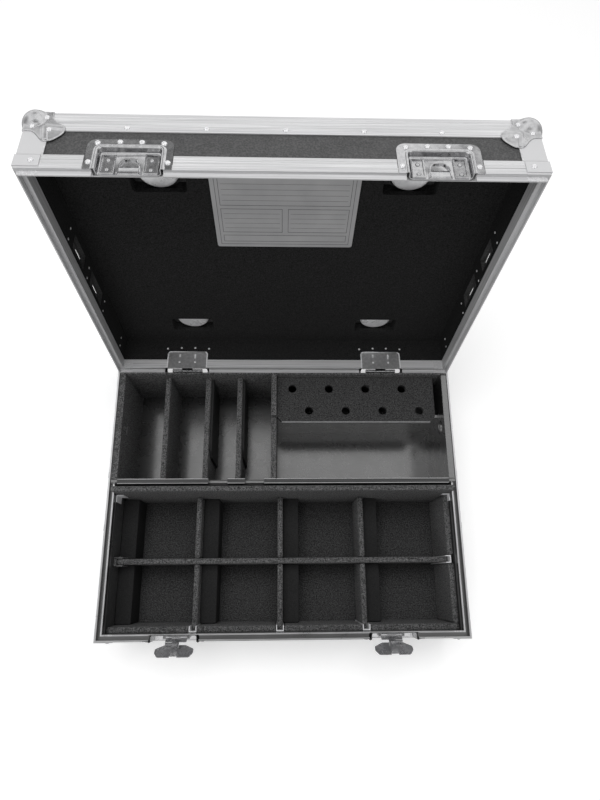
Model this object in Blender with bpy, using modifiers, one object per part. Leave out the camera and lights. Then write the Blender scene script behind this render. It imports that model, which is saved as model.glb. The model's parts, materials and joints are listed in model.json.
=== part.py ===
"""Lighting flight case: a laminated plywood trunk with aluminium edges, standing open.

The base holds a carpeted section of eight compartments and a lift-out tray. The lid hangs on two
recessed hinges and is held shut by two recessed butterfly latches. Lengths are in metres, +Z is up,
-Y is the front. Every piece is made where it lies in the shut case, and its pivot then opens it.
"""
import math

import bmesh
import bpy
from mathutils import Matrix, Vector

for old in list(bpy.data.objects):
    bpy.data.objects.remove(old, do_unlink=True)

# Driving dimensions of the case
case_width = 0.650
case_depth = 0.492
base_height = 0.157
lid_height = 0.097
foot_height = 0.024
panel_thickness = 0.009
edge_sheet = 0.0014
seat_gap = 0.0003
shut_gap = 0.0004
lid_open_angle = math.radians(98.99)
latch_out_angle = math.radians(38.0)
cut_overrun = 0.004
weld_depth = 0.0003
sharp_angle = math.radians(35.0)
flat_angle = math.radians(0.5)

# Places that follow from them
half_width = case_width / 2
half_depth = case_depth / 2
rim_z = foot_height + base_height
lid_rim_z = rim_z + shut_gap
lid_top_z = lid_rim_z + lid_height
skin = edge_sheet + seat_gap
inner = skin + panel_thickness
hinge_place = Vector((0, half_depth, rim_z))

parts = bpy.data.collections.new("lighting_flight_case")
cutters = bpy.data.collections.new("cutters")
for collection in (parts, cutters):
    bpy.context.scene.collection.children.link(collection)


def finish(name, colour, roughness, metallic):
    material = bpy.data.materials.new(name)
    material.use_nodes = True
    shader = material.node_tree.nodes["Principled BSDF"]
    shader.inputs["Base Color"].default_value = (*colour, 1)
    shader.inputs["Roughness"].default_value = roughness
    shader.inputs["Metallic"].default_value = metallic
    return material


laminate = finish("laminate", (0.060, 0.060, 0.062), 0.55, 0)
aluminium = finish("aluminium", (0.62, 0.62, 0.63), 0.32, 1)
zinc_steel = finish("zinc_steel", (0.66, 0.66, 0.67), 0.18, 1)
carpet = finish("carpet", (0.045, 0.045, 0.047), 0.95, 0)
foam = finish("foam", (0.022, 0.022, 0.023), 0.95, 0)
tray_board = finish("tray_board", (0.090, 0.090, 0.092), 0.35, 0)
tray_metal = finish("tray_metal", (0.50, 0.50, 0.51), 0.35, 1)
card_stock = finish("card_stock", (0.72, 0.72, 0.72), 0.60, 0)
black_rubber = finish("black_rubber", (0.020, 0.020, 0.020), 0.80, 0)


def pivot(name, place, turn=0.0, axis="X", carrier=None):
    """An empty on a joint's axis; what hangs on it is given in the shut case's own places."""
    empty = bpy.data.objects.new(name, None)
    parts.objects.link(empty)
    empty.location = place
    empty["home"] = list(place)
    setattr(empty.rotation_euler, axis.lower(), turn)
    if carrier:
        hang(empty, carrier)
    return empty


def hang(item, carrier):
    item.parent = carrier
    item.matrix_parent_inverse = Matrix.Translation(-Vector(carrier["home"]))


case_origin = pivot("case_origin", (0, 0, 0))
lid_pivot = pivot("lid_pivot", hinge_place, -lid_open_angle, "X", case_origin)


def box_mesh(size):
    bm = bmesh.new()
    bmesh.ops.create_cube(bm, size=1)
    bmesh.ops.scale(bm, vec=size, verts=bm.verts)
    return to_mesh(bm)


def to_mesh(bm):
    mesh = bpy.data.meshes.new("piece")
    bm.normal_update()
    bmesh.ops.recalc_face_normals(bm, faces=bm.faces)
    bm.to_mesh(mesh)
    bm.free()
    return mesh


def block(low, high):
    """A plain box between two corners."""
    low, high = Vector(low), Vector(high)
    return placed(box_mesh(high - low), Matrix.Translation((low + high) / 2))


def drum(radius, length, sides, far_radius=None):
    """A cylinder or cone that stands on the origin and points along +Z."""
    bm = bmesh.new()
    top = radius if far_radius is None else far_radius
    bmesh.ops.create_cone(bm, cap_ends=True, segments=sides, radius1=radius, radius2=top, depth=length)
    bmesh.ops.translate(bm, vec=(0, 0, length / 2), verts=bm.verts)
    return to_mesh(bm)


def placed(mesh, matrix):
    """A copy of the mesh moved by the matrix, with its faces still pointing out if it is mirrored."""
    bm = bmesh.new()
    bm.from_mesh(mesh)
    bm.transform(matrix)
    return to_mesh(bm)


def grouped(meshes):
    """Separate solids gathered in one mesh, as one cutter or one set of things to weld on."""
    bm = bmesh.new()
    for mesh in meshes:
        bm.from_mesh(mesh)
    group = bpy.data.meshes.new("group")
    bm.to_mesh(group)
    bm.free()
    return group


def evaluated(item, loose_caps=True):
    """The item's mesh after its modifiers or curve settings, with loose caps welded on."""
    graph = bpy.context.evaluated_depsgraph_get()
    mesh = bpy.data.meshes.new_from_object(item.evaluated_get(graph))
    bpy.data.objects.remove(item, do_unlink=True)
    if loose_caps:
        bm = bmesh.new()
        bm.from_mesh(mesh)
        bmesh.ops.remove_doubles(bm, verts=bm.verts, dist=weld_distance)
        return to_mesh(bm)
    return mesh


weld_distance = 0.00001


def plate(outline, thickness, holes=()):
    """A flat outline, with any holes, that stands on the XY plane with the given thickness."""
    curve = bpy.data.curves.new("outline", "CURVE")
    curve.dimensions = "2D"
    curve.fill_mode = "BOTH"
    curve.extrude = thickness / 2
    for ring in (outline, *holes):
        spline = curve.splines.new("POLY")
        spline.points.add(len(ring) - 1)
        for point, (x, y) in zip(spline.points, ring):
            point.co = (x, y, 0, 1)
        spline.use_cyclic_u = True
    item = bpy.data.objects.new("outline", curve)
    cutters.objects.link(item)
    bm = bmesh.new()
    bm.from_mesh(evaluated(item))
    bmesh.ops.dissolve_limit(bm, angle_limit=flat_angle, verts=bm.verts, edges=bm.edges)
    bmesh.ops.translate(bm, vec=(0, 0, thickness / 2), verts=bm.verts)
    return to_mesh(bm)


def combined(mesh, others, operation):
    """The mesh cut by, or joined to, each of the others."""
    item = bpy.data.objects.new("worked", mesh)
    cutters.objects.link(item)
    tools = []
    for other in others:
        tool = bpy.data.objects.new("cutter", other)
        tool.hide_render = True
        tool.display_type = "WIRE"
        cutters.objects.link(tool)
        step = item.modifiers.new("step", "BOOLEAN")
        step.operation = operation
        step.solver = "EXACT"
        step.object = tool
        tools.append(tool)
    bpy.context.view_layer.update()
    result = evaluated(item, loose_caps=False)
    for tool in tools:
        bpy.data.objects.remove(tool, do_unlink=True)
    return result


def carve(mesh, others):
    return combined(mesh, others, "DIFFERENCE")


def weld(mesh, others):
    return combined(mesh, others, "UNION")


def turned(profile, steps, closed=False):
    """A profile of radius and height turned about Z with a Screw modifier."""
    bm = bmesh.new()
    points = [bm.verts.new((radius, 0, height)) for radius, height in profile]
    for first, second in zip(points, points[1:] + points[:1] if closed else points[1:]):
        bm.edges.new((first, second))
    mesh = bpy.data.meshes.new("profile")
    bm.to_mesh(mesh)
    bm.free()
    item = bpy.data.objects.new("profile", mesh)
    cutters.objects.link(item)
    screw = item.modifiers.new("turn", "SCREW")
    screw.steps = steps
    screw.render_steps = steps
    screw.use_merge_vertices = True
    screw.merge_threshold = weld_distance
    return evaluated(item)


def part(name, mesh, material, carrier=None):
    """One named sub-part, with its origin at the middle of its box and its faces shaded."""
    corners = [vertex.co.copy() for vertex in mesh.vertices]
    low = Vector([min(corner[i] for corner in corners) for i in range(3)])
    high = Vector([max(corner[i] for corner in corners) for i in range(3)])
    middle = (low + high) / 2
    mesh = placed(mesh, Matrix.Translation(-middle))
    mesh.name = name
    mesh.materials.append(material)
    mesh.shade_smooth()
    mesh.set_sharp_from_angle(angle=sharp_angle)
    item = bpy.data.objects.new(name, mesh)
    item.location = middle
    parts.objects.link(item)
    hang(item, carrier or case_origin)
    return item


def wall(side):
    """Wall coordinates: x along the wall, y the depth in from its outside, z up from the floor."""
    reach = half_depth if side in ("front", "rear") else half_width
    turn = {"front": 0, "right": 1, "rear": 2, "left": 3}[side]
    return Matrix.Rotation(turn * math.pi / 2, 4, "Z") @ Matrix.Translation((0, -reach, 0))


def corner(number):
    """Corner coordinates: x and y run in from the outside of the two walls that meet there."""
    sign_x = -1 if number in (0, 3) else 1
    sign_y = -1 if number in (0, 1) else 1
    spot = Matrix.Translation((sign_x * half_width, sign_y * half_depth, 0))
    return spot @ Matrix.Rotation(number * math.pi / 2, 4, "Z")


def upright(level):
    """Lifts the plane z = 0 to a level."""
    return Matrix.Translation((0, 0, level))


def flipped(level):
    """Mirrors z about zero and lifts it to a level, for the lid's copies of the base's pieces."""
    return Matrix.Translation((0, 0, level)) @ Matrix.Diagonal((1, 1, -1, 1))


walls = ("front", "right", "rear", "left")
corner_names = ("front_left", "front_right", "rear_right", "rear_left")


def frame_ring(profile):
    """A profile of depth and level run round all four walls, with mitred corners and a seam in mid wall."""
    bm = bmesh.new()
    stations = ((-1, -1), (0, -1), (1, -1), (1, 0), (1, 1), (0, 1), (-1, 1), (-1, 0))
    rings = [[bm.verts.new((across * (half_width - depth), along * (half_depth - depth), level))
              for depth, level in profile] for across, along in stations]
    for near, far in zip(rings, rings[1:] + rings[:1]):
        for number in range(len(profile)):
            bm.faces.new((near[number - 1], far[number - 1], far[number], near[number]))
    return to_mesh(bm)


# Rivets: low domed heads, welded to the piece that they hold.
rivet_radius = 0.0036
rivet_crown = 0.0020
rivet_height = 0.0012
rivet_root = 0.0007
rivet_sides = 6
rivet_turn = math.radians(13)
rivet_head = drum(rivet_radius, rivet_height + rivet_root, rivet_sides, rivet_crown)
facing_out = Matrix.Rotation(math.pi / 2, 4, "X")
facing_side = Matrix.Rotation(-math.pi / 2, 4, "Y")
facing_down = Matrix.Rotation(math.pi, 4, "X")


def wall_rivets(places, depth):
    """Heads on a wall's surface at the given depth, at (along, up) places in wall coordinates.
    Each is turned a little further than the last, so that their corners don't fall in line."""
    return [placed(rivet_head, Matrix.Translation((x, depth + rivet_root, z)) @ facing_out
                   @ Matrix.Rotation(number * rivet_turn, 4, "Z")) for number, (x, z) in enumerate(places)]


def in_walls(meshes_of, sides=walls):
    """What a function makes for each wall, put in its place."""
    return [placed(mesh, wall(side)) for side in sides for mesh in meshes_of(side)]


# Rim extrusions: a groove runs round the base's rim and a tongue round the lid's.
# Both are mitred at the corners and cut away where a latch or hinge dish comes through.
rim_flange = 0.023
rim_width = inner + seat_gap + edge_sheet
rim_inner_flange = 0.0185
rim_seat = 0.0100
groove_near = 0.0030
groove_far = 0.0098
groove_depth = 0.0085
tongue_near = 0.0042
tongue_far = 0.0060
tongue_length = 0.0070
flute_depth = 0.0004
flute_half = 0.0008
dish_setback = 0.135
dish_places = (dish_setback - half_width, half_width - dish_setback)
dish_flange_half = 0.053
dish_flange_height = 0.0515
dish_lip_half = 0.042
dish_lip_height = 0.040
dish_floor_half = 0.037
dish_floor_height = 0.036
dish_clearance = 0.0008


def fluted(start, end, count):
    """Levels along a flange with shallow grooves, as (depth, level) points from start to end."""
    points = [(0, start)]
    direction = 1 if end > start else -1
    for number in range(1, count + 1):
        level = start + (end - start) * number / (count + 1)
        points.append((0, level - direction * flute_half))
        points.append((flute_depth, level))
        points.append((0, level + direction * flute_half))
    points.append((0, end))
    return points


base_rim_profile = fluted(-rim_flange, 0, 4) + [
    (groove_near, 0), (groove_near, -groove_depth), (groove_far, -groove_depth), (groove_far, 0),
    (rim_width, 0), (rim_width, -rim_inner_flange), (rim_width - edge_sheet, -rim_inner_flange),
    (rim_width - edge_sheet, -rim_seat), (edge_sheet, -rim_seat), (edge_sheet, -rim_flange)]
lid_rim_profile = fluted(rim_flange, 0, 4) + [
    (tongue_near, 0), (tongue_near, -tongue_length), (tongue_far, -tongue_length), (tongue_far, 0),
    (rim_width, 0), (rim_width, rim_inner_flange), (rim_width - edge_sheet, rim_inner_flange),
    (rim_width - edge_sheet, rim_seat), (edge_sheet, rim_seat), (edge_sheet, rim_flange)]


def dish_gaps(far):
    """Cutters for a rim at its dishes, in wall coordinates: the body of the profile, and its outer flange."""
    low, high = -rim_flange - cut_overrun, rim_flange + cut_overrun
    for place in dish_places:
        half = dish_lip_half + dish_clearance
        yield block((place - half, -cut_overrun, low), (place + half, far, high))
        half = dish_flange_half + dish_clearance
        yield block((place - half, -cut_overrun, low), (place + half, skin - seat_gap / 2, high))


# Corner braces: small right-angled plates riveted over the mitre of each rim corner.
brace_leg = 0.030
brace_near = 0.0030
brace_far = 0.0215
brace_sheet = 0.0012
brace_rivet = (0.020, 0.012)


def corner_brace():
    far, out = brace_leg, -brace_sheet
    back = rivet_root
    shape = [(out, out), (far, out), (far, back), (back, back), (back, far), (out, far)]
    solid = placed(plate(shape, brace_far - brace_near), upright(brace_near))
    along, up = brace_rivet
    heads = [placed(rivet_head, Matrix.Translation((along, out + rivet_root, up)) @ facing_out),
             placed(rivet_head, Matrix.Translation((out + rivet_root, along, up)) @ facing_side)]
    return weld(solid, heads)


def rim(profile, direction):
    """A rim ring with its dish gaps cut and its four corner braces welded on, about level 0."""
    ring = carve(frame_ring(profile), in_walls(lambda side: dish_gaps(rim_width - edge_sheet - seat_gap / 2),
                                               ("front", "rear")))
    turn = Matrix.Diagonal((1, 1, direction, 1))
    one_brace = corner_brace()
    return weld(ring, [placed(one_brace, corner(number) @ turn) for number in range(4)])


part("base_rim", placed(rim(base_rim_profile, -1), upright(rim_z)), aluminium)
part("lid_rim", placed(rim(lid_rim_profile, 1), upright(lid_rim_z)), aluminium, lid_pivot)


# Carcasses: boxes of 9 mm plywood with a dark textured laminate outside, between the edge metals.
wall_high = rim_z - rim_seat - seat_gap
lid_wall_low = lid_rim_z + rim_seat + seat_gap
floor_board_low = foot_height + skin
top_board_high = lid_top_z - skin
top_low = top_board_high - panel_thickness
cup_setback = 0.071
cup_end_setback = 0.150
cup_spread = half_width - cup_end_setback
cup_hole_radius = 0.0352
round_sides = 16
vent_windows = ((0.050, 0.025, 0.035), (-0.039, 0.031, -0.053))
vent_window_low = 0.029
vent_window_high = 0.054
vent_skin = 0.0012
vent_slot_level = 0.050
vent_slot_half = 0.0125
vent_slot_radius = 0.0016
vent_hole_place = 0.0190
latch_sides = 14


def circle(radius, sides, centre=(0, 0), turn=0.0):
    """Points round a circle, counterclockwise."""
    angles = [2 * math.pi * number / sides + turn for number in range(sides)]
    return [(centre[0] + radius * math.cos(angle), centre[1] + radius * math.sin(angle)) for angle in angles]


def facing(mesh, near):
    """Stands a flat plate up in wall coordinates, its lower face at the given depth."""
    return placed(mesh, Matrix(((1, 0, 0, 0), (0, 0, 1, near), (0, 1, 0, 0), (0, 0, 0, 1))))


def rounded(half, low, high, radius, steps):
    """A rectangle's outline with round corners."""
    points = []
    spots = ((half - radius, low + radius, -math.pi / 2), (half - radius, high - radius, 0),
             (-half + radius, high - radius, math.pi / 2), (-half + radius, low + radius, math.pi))
    for centre_x, centre_z, start in spots:
        for step in range(steps + 1):
            angle = start + step * math.pi / 2 / steps
            points.append((centre_x + radius * math.cos(angle), centre_z + radius * math.sin(angle)))
    return points


def open_box(closed_end, open_end, wall):
    """A box open at one end, with its walls just inside the edge metal."""
    low, high = min(closed_end, open_end), max(closed_end, open_end)
    x, y = half_width - skin, half_depth - skin
    up = 1 if open_end > closed_end else -1
    near = closed_end + up * wall
    hollow = block((wall - x, wall - y, min(near, open_end + up * cut_overrun)),
                   (x - wall, y - wall, max(near, open_end + up * cut_overrun)))
    return carve(block((-x, -y, low), (x, y, high)), [hollow])


def dish_windows(level, direction):
    """Cutters for the holes in a wall behind its pressed dishes, in wall coordinates."""
    half = dish_lip_half + dish_clearance
    far = level + direction * (dish_lip_height + dish_clearance)
    near = level - direction * rim_flange
    return [block((place - half, -cut_overrun, min(near, far)), (place + half, inner + cut_overrun, max(near, far)))
            for place in dish_places]


def vent_cutters(side):
    """Windows sunk into a lid end from inside, and a slot between two holes through the skin that is left."""
    rearward = -1 if side == "left" else 1
    for forward, half, slot_forward in vent_windows:
        place, centre = -rearward * forward, -rearward * slot_forward
        yield block((place - half, skin + vent_skin, lid_rim_z + vent_window_low),
                    (place + half, inner + cut_overrun, lid_rim_z + vent_window_high))
        slot = rounded(vent_slot_half, -vent_slot_radius, vent_slot_radius, vent_slot_radius, 2)
        through = inner + 2 * cut_overrun
        level = lid_rim_z + vent_slot_level
        yield placed(facing(plate(slot, through), -cut_overrun), Matrix.Translation((centre, 0, level)))
        for offset in (-vent_hole_place, vent_hole_place):
            hole = facing(plate(circle(vent_slot_radius, latch_sides // 2), through), -cut_overrun)
            yield placed(hole, Matrix.Translation((centre + offset, 0, level)))


base_box = open_box(floor_board_low, wall_high, panel_thickness)
part("base_carcass", carve(base_box, in_walls(lambda side: dish_windows(rim_z, -1), ("front", "rear"))), laminate)
cup_places = [(x, y) for x in (-cup_spread, cup_spread)
              for y in (-half_depth + cup_setback, half_depth - cup_setback)]
cup_names = ("front_left", "rear_left", "front_right", "rear_right")
cup_holes = [placed(drum(cup_hole_radius, panel_thickness + 2 * cut_overrun, round_sides),
                    Matrix.Translation((x, y, top_low - cut_overrun))) for x, y in cup_places]
lid_box = open_box(top_board_high, lid_wall_low, panel_thickness)
part("lid_carcass", carve(lid_box, in_walls(lambda side: dish_windows(lid_rim_z, 1), ("front", "rear"))
                          + in_walls(vent_cutters, ("left", "right")) + cup_holes), laminate, lid_pivot)


# Double-angle edges: fluted L-shaped extrusions along the bottom, the top and the upright corners.
edge_flange = 0.032
edge_profile = fluted(0, edge_flange, 4) + [
    (edge_sheet, edge_flange), (edge_sheet, edge_sheet), (edge_flange, edge_sheet), (edge_flange, 0)]


edge_rivet_share = 0.80
long_rivet_places = (-0.198, -0.099, 0, 0.099, 0.198)
short_rivet_places = (-0.099, 0, 0.099)


def edge_frame(height):
    """The ring of edging round a face at level 0, with the four upright edges that rise from it."""
    # the uprights are a little thinner than the ring, so that their inner faces end inside it
    leg, near = edge_flange, edge_sheet - weld_depth
    shape = [(0, 0), (leg, 0), (leg, near), (near, near), (near, leg), (0, leg)]
    posts = [placed(plate(shape, height - leg + near), corner(number) @ upright(leg - near)) for number in range(4)]

    def heads(side):
        level = edge_flange * edge_rivet_share
        places = long_rivet_places if side in ("front", "rear") else short_rivet_places
        flat = [placed(rivet_head, Matrix.Translation((x, level, rivet_root)) @ facing_down
                       @ Matrix.Rotation(number * rivet_turn, 4, "Z")) for number, x in enumerate(places)]
        return wall_rivets([(x, level) for x in places], 0) + flat

    return weld(frame_ring(edge_profile), posts + [grouped(in_walls(heads))])


part("base_edges", placed(edge_frame(base_height - rim_flange - seat_gap), upright(foot_height)), aluminium)
part("lid_edges", placed(edge_frame(lid_height - rim_flange - seat_gap), flipped(lid_top_z)), aluminium, lid_pivot)


# Ball corners: pressed steel, a ball on the point and a lobed, riveted plate on each of three faces.
corner_leg = 0.0525
corner_sheet = 0.0012
corner_stand = seat_gap + corner_sheet
ball_radius = 0.019
ball_depth = 0.012
ball_segments = 14
ball_rings = 8
corner_rivet_shares = ((0.50, 0.20), (0.20, 0.50), (0.62, 0.62))
corner_lobe_shares = ((0.69, 0.16), (0.63, 0.24), (0.74, 0.34), (0.93, 0.46), (1.0, 0.59), (0.94, 0.76), (0.86, 0.86))


def ball_corner():
    """One ball corner in corner coordinates, with z running in from the top or bottom face."""
    arm = [(along * corner_leg, across * corner_leg) for along, across in corner_lobe_shares]
    start = corner_lobe_shares[0][0] * corner_leg
    outline = [(-corner_stand, -corner_stand), (start, -corner_stand), *arm,
               *[(across, along) for along, across in reversed(arm[:-1])], (-corner_stand, start)]
    flat = placed(plate(outline, corner_sheet), upright(-corner_stand))
    side_a = Matrix(((1, 0, 0, 0), (0, 0, 1, 0), (0, 1, 0, 0), (0, 0, 0, 1)))
    side_b = Matrix(((0, 0, 1, 0), (0, 1, 0, 0), (1, 0, 0, 0), (0, 0, 0, 1)))
    bm = bmesh.new()
    bmesh.ops.create_uvsphere(bm, u_segments=ball_segments, v_segments=ball_rings, radius=ball_radius)
    bmesh.ops.translate(bm, vec=(ball_depth, ball_depth, ball_depth), verts=bm.verts)
    # the ball is cut off half way into the plates, which cover it all round
    middle, reach = -seat_gap - corner_sheet / 2, 2 * corner_leg
    ball = carve(to_mesh(bm), [block((middle, middle, middle), (reach, reach, reach))])
    shell = weld(flat, [placed(flat, side_a), placed(flat, side_b), ball])
    heads, out = [], rivet_root - corner_stand
    for a, b in ((a * corner_leg, b * corner_leg) for a, b in corner_rivet_shares):
        heads.append(placed(rivet_head, Matrix.Translation((a, out, b)) @ facing_out))
        heads.append(placed(rivet_head, Matrix.Translation((out, a, b)) @ facing_side))
        heads.append(placed(rivet_head, Matrix.Translation((a, b, out)) @ facing_down))
    return weld(shell, [grouped(heads)])


one_ball_corner = ball_corner()
for number, name in enumerate(corner_names):
    part(f"base_ball_corner_{name}", placed(one_ball_corner, corner(number) @ upright(foot_height)), zinc_steel)
    part(f"lid_ball_corner_{name}", placed(one_ball_corner, corner(number) @ flipped(lid_top_z)), zinc_steel, lid_pivot)


# Pressed dishes: the recessed pans of the latches in front and of the hinges behind.
dish_sheet = 0.0010
dish_face = 0.0002
base_floor_depth = 0.0095
lid_floor_depth = 0.0082
lid_dish_tail = 0.0080
dish_tail_inset = 0.0015
dish_arc_steps = 4
flange_radius = 0.012
lip_radius = 0.008
floor_radius = 0.006
dish_rivets = ((0.0133, 0.0463), (-0.0133, 0.0463), (0.0405, 0.0445), (-0.0405, 0.0445), (0.0475, 0.0115),
               (-0.0475, 0.0115))


def pan_outline(half, height, radius):
    """Points down one side of a pan, round its two far corners and up the other side."""
    points = [(-half, 0)]
    for centre_x, start in ((-half + radius, math.pi), (half - radius, math.pi / 2)):
        for step in range(dish_arc_steps + 1):
            angle = start - step * math.pi / 2 / dish_arc_steps
            points.append((centre_x + radius * math.cos(angle), height - radius + radius * math.sin(angle)))
    points.append((half, 0))
    return points


def pressed_dish(floor_depth, tail=0.0):
    """A pan as sheet metal in wall coordinates, opening at level 0 and reaching to higher levels."""
    bm = bmesh.new()
    rings = []
    sizes = ((dish_flange_half, dish_flange_height, flange_radius, dish_face),
             (dish_lip_half, dish_lip_height, lip_radius, dish_face),
             (dish_floor_half, dish_floor_height, floor_radius, floor_depth))
    for half, height, radius, depth in sizes:
        rings.append([bm.verts.new((x, depth, z)) for x, z in pan_outline(half, height, radius)])
    for outer_ring, inner_ring in zip(rings, rings[1:]):
        for number in range(len(outer_ring) - 1):
            bm.faces.new((outer_ring[number], outer_ring[number + 1], inner_ring[number + 1], inner_ring[number]))
    floor = list(rings[-1])
    if tail:
        narrowed = dish_floor_half - dish_tail_inset
        for x, level in ((narrowed, 0), (narrowed, -tail), (-narrowed, -tail), (-narrowed, 0)):
            floor.append(bm.verts.new((x, floor_depth, level)))
    bm.faces.new(floor)
    bmesh.ops.recalc_face_normals(bm, faces=bm.faces)
    for face in bm.faces:
        if face.calc_area() > dish_floor_half * dish_floor_height and face.normal.y > 0:
            bmesh.ops.reverse_faces(bm, faces=bm.faces)
            break
    mesh = bpy.data.meshes.new("pan")
    bm.to_mesh(mesh)
    bm.free()
    item = bpy.data.objects.new("pan", mesh)
    cutters.objects.link(item)
    shell = item.modifiers.new("sheet", "SOLIDIFY")
    shell.thickness = dish_sheet
    shell.offset = -1
    shell.use_even_offset = True
    return evaluated(item)


def riveted_dish(floor_depth, extras, tail=0.0, lift=0.0):
    """A pressed dish with its six rivets and whatever is fixed to its floor."""
    heads = wall_rivets(dish_rivets, dish_face)
    return weld(placed(weld(pressed_dish(floor_depth, tail), [grouped(heads)]), upright(lift)), extras)


def dish_part(name, mesh, side, place, turn, level, carrier=None):
    here = wall(side) @ Matrix.Translation((place, 0, 0)) @ turn(level)
    return part(name, placed(mesh, here), zinc_steel, carrier)


# Hinges: a leaf is riveted to each dish's floor, and its knuckles meet on the case's rear rim edge.
leaf_half = 0.029
leaf_sheet = 0.0020
leaf_near = 0.0060
leaf_far = 0.0310
leaf_front = base_floor_depth + weld_depth - leaf_sheet
knuckle_radius = 0.0045
pin_radius = 0.0020
pin_clearance = 0.0003
middle_knuckle_half = 0.0100
knuckle_gap = 0.0005
pin_sides = 12
arm_foot = (0.0043, 0.0010)


def along_x(mesh, start):
    """A shape that stands on the origin, laid along X from a starting place."""
    return placed(mesh, Matrix.Translation((start, 0, 0)) @ Matrix.Rotation(math.pi / 2, 4, "Y"))


def drawn_along_x(shape, start, end):
    """An outline of depth and level drawn along X."""
    return placed(plate(shape, end - start), Matrix(((0, 0, 1, start), (1, 0, 0, 0), (0, 1, 0, 0), (0, 0, 0, 1))))


def hinge_leaf(spans, bored):
    """A leaf with one knuckle and arm on each span of X; a bored one turns on the other leaf's pin."""
    back, foot = leaf_front + leaf_sheet, leaf_near + leaf_sheet
    arm = [(0, 0), arm_foot, (back, leaf_near), (back, foot), (leaf_front, foot), (0, knuckle_radius)]
    leaf = block((-leaf_half, leaf_front, leaf_near), (leaf_half, back, leaf_far))
    pieces = [drawn_along_x(arm, start, end) for start, end in spans]
    pieces += [along_x(drum(knuckle_radius, end - start, pin_sides), start) for start, end in spans]
    if bored:
        bore = along_x(drum(pin_radius + pin_clearance, 2 * leaf_half, pin_sides), -leaf_half)
        return carve(weld(leaf, pieces), [bore])
    return weld(leaf, pieces + [along_x(drum(pin_radius, 2 * leaf_half - knuckle_gap, pin_sides), -leaf_half)])


outer_start = middle_knuckle_half + knuckle_gap
base_hinge = riveted_dish(base_floor_depth, [hinge_leaf(((-leaf_half, -outer_start), (outer_start, leaf_half)), False)])
lid_hinge = riveted_dish(base_floor_depth, [hinge_leaf(((-middle_knuckle_half, middle_knuckle_half),), True)],
                         lift=shut_gap)
for name, place in (("right", dish_places[0]), ("left", dish_places[1])):
    dish_part(f"base_hinge_{name}", base_hinge, "rear", place, flipped, rim_z)
    dish_part(f"lid_hinge_{name}", lid_hinge, "rear", place, upright, rim_z, lid_pivot)


# Butterfly latches: in each base dish a carrier swings out on a pin. It holds a turning hub with
# two folding wings in front and a hook behind them, which grips a keeper in the lid's dish.
swing_depth = 0.0050
swing_drop = 0.0310
swing_pin_radius = 0.0015
swing_knuckle_radius = 0.0028
carrier_half = 0.0185
carrier_near = 0.0021
carrier_sheet = 0.0012
carrier_shoulder = 0.0100
knuckle_share = 0.55
neck_half = 0.0060
hub_radius = 0.0030
carrier_eye_radius = 0.0080
hub_washer_radius = 0.0050
hub_washer_near = 0.0049
hub_washer_far = 0.0055
hub_head_half = 0.0032
hub_head_length = 0.0096
hub_head_near = 0.0004
hub_head_far = 0.0018
hub_ear_reach = 0.0058
hook_near = 0.0036
hook_sheet = 0.0010
hook_tip_far = 0.0075
hook_ring_radius = 0.0068
hook_reach = 0.0109
hook_bar = 0.0025
hook_bar_half = 0.0105
hook_bar_offset = 0.0065
hook_draw = 0.0015
hook_arm_half = 0.0045
keeper_near = 0.0059
keeper_sheet = 0.0012
keeper_radius = 0.0105
keeper_foot = 0.0065
keeper_half = 0.0090
wing_near = 0.0004
wing_sheet = 0.0012
wing_hinge_place = 0.0050
wing_root = 0.0063
wing_barrel_radius = 0.0008
wing_barrel_half = 0.0072
wing_shares = ((-0.47, 0.55), (-0.22, 0.97), (-0.16, 1.0), (0.06, 1.0), (0.12, 0.97), (0.33, 0.84), (0.36, 0.78))
wing_reach = 0.0330


def latch_carrier():
    """The swinging plate, with an eye for the hub and two knuckles round the pin."""
    shoulder = carrier_shoulder - swing_drop
    foot = swing_knuckle_radius - swing_drop
    eye = carrier_eye_radius
    neck = [(neck_half, shoulder), (neck_half, -eye * math.cos(math.asin(neck_half / eye)))]
    ring = [point for point in circle(eye, latch_sides) if abs(point[0]) > neck_half or point[1] > 0]
    ring = sorted(ring, key=lambda point: math.atan2(point[0], -point[1]) % (2 * math.pi))
    width = carrier_half * knuckle_share
    half_side = [(carrier_half - width, foot), (carrier_half - width, -swing_drop), (carrier_half, -swing_drop),
                 (carrier_half, shoulder), *neck]
    outline = [*half_side, *ring, *[(-x, z) for x, z in reversed(half_side)]]
    solid = facing(plate(outline, carrier_sheet, [circle(hub_radius + 2 * weld_depth, latch_sides)]), carrier_near)
    on_pin = Matrix.Translation((0, swing_depth, -swing_drop))
    pieces = [placed(along_x(drum(swing_knuckle_radius, width, latch_sides), start), on_pin)
              for start in (-carrier_half, carrier_half - width)]
    bore = along_x(drum(swing_pin_radius + pin_clearance, 3 * carrier_half, latch_sides), -3 * carrier_half / 2)
    return carve(weld(solid, pieces), [placed(bore, on_pin)])


def pin_bracket():
    """The pin of a carrier with the two lugs that hold it to the dish's floor, below the rim."""
    lug, half = carrier_half / 4, swing_knuckle_radius / 2
    reach = carrier_half + seat_gap + lug
    pieces = [block((start, swing_depth - half, -half), (start + lug, base_floor_depth + weld_depth, half))
              for start in (-reach, reach - lug)]
    pin = placed(along_x(drum(swing_pin_radius, 2 * reach - lug, latch_sides), lug / 2 - reach),
                 Matrix.Translation((0, swing_depth, 0)))
    # the dish is made upside down, its levels rising away from the rim
    return placed(weld(pin, pieces), upright(swing_drop))


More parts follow.
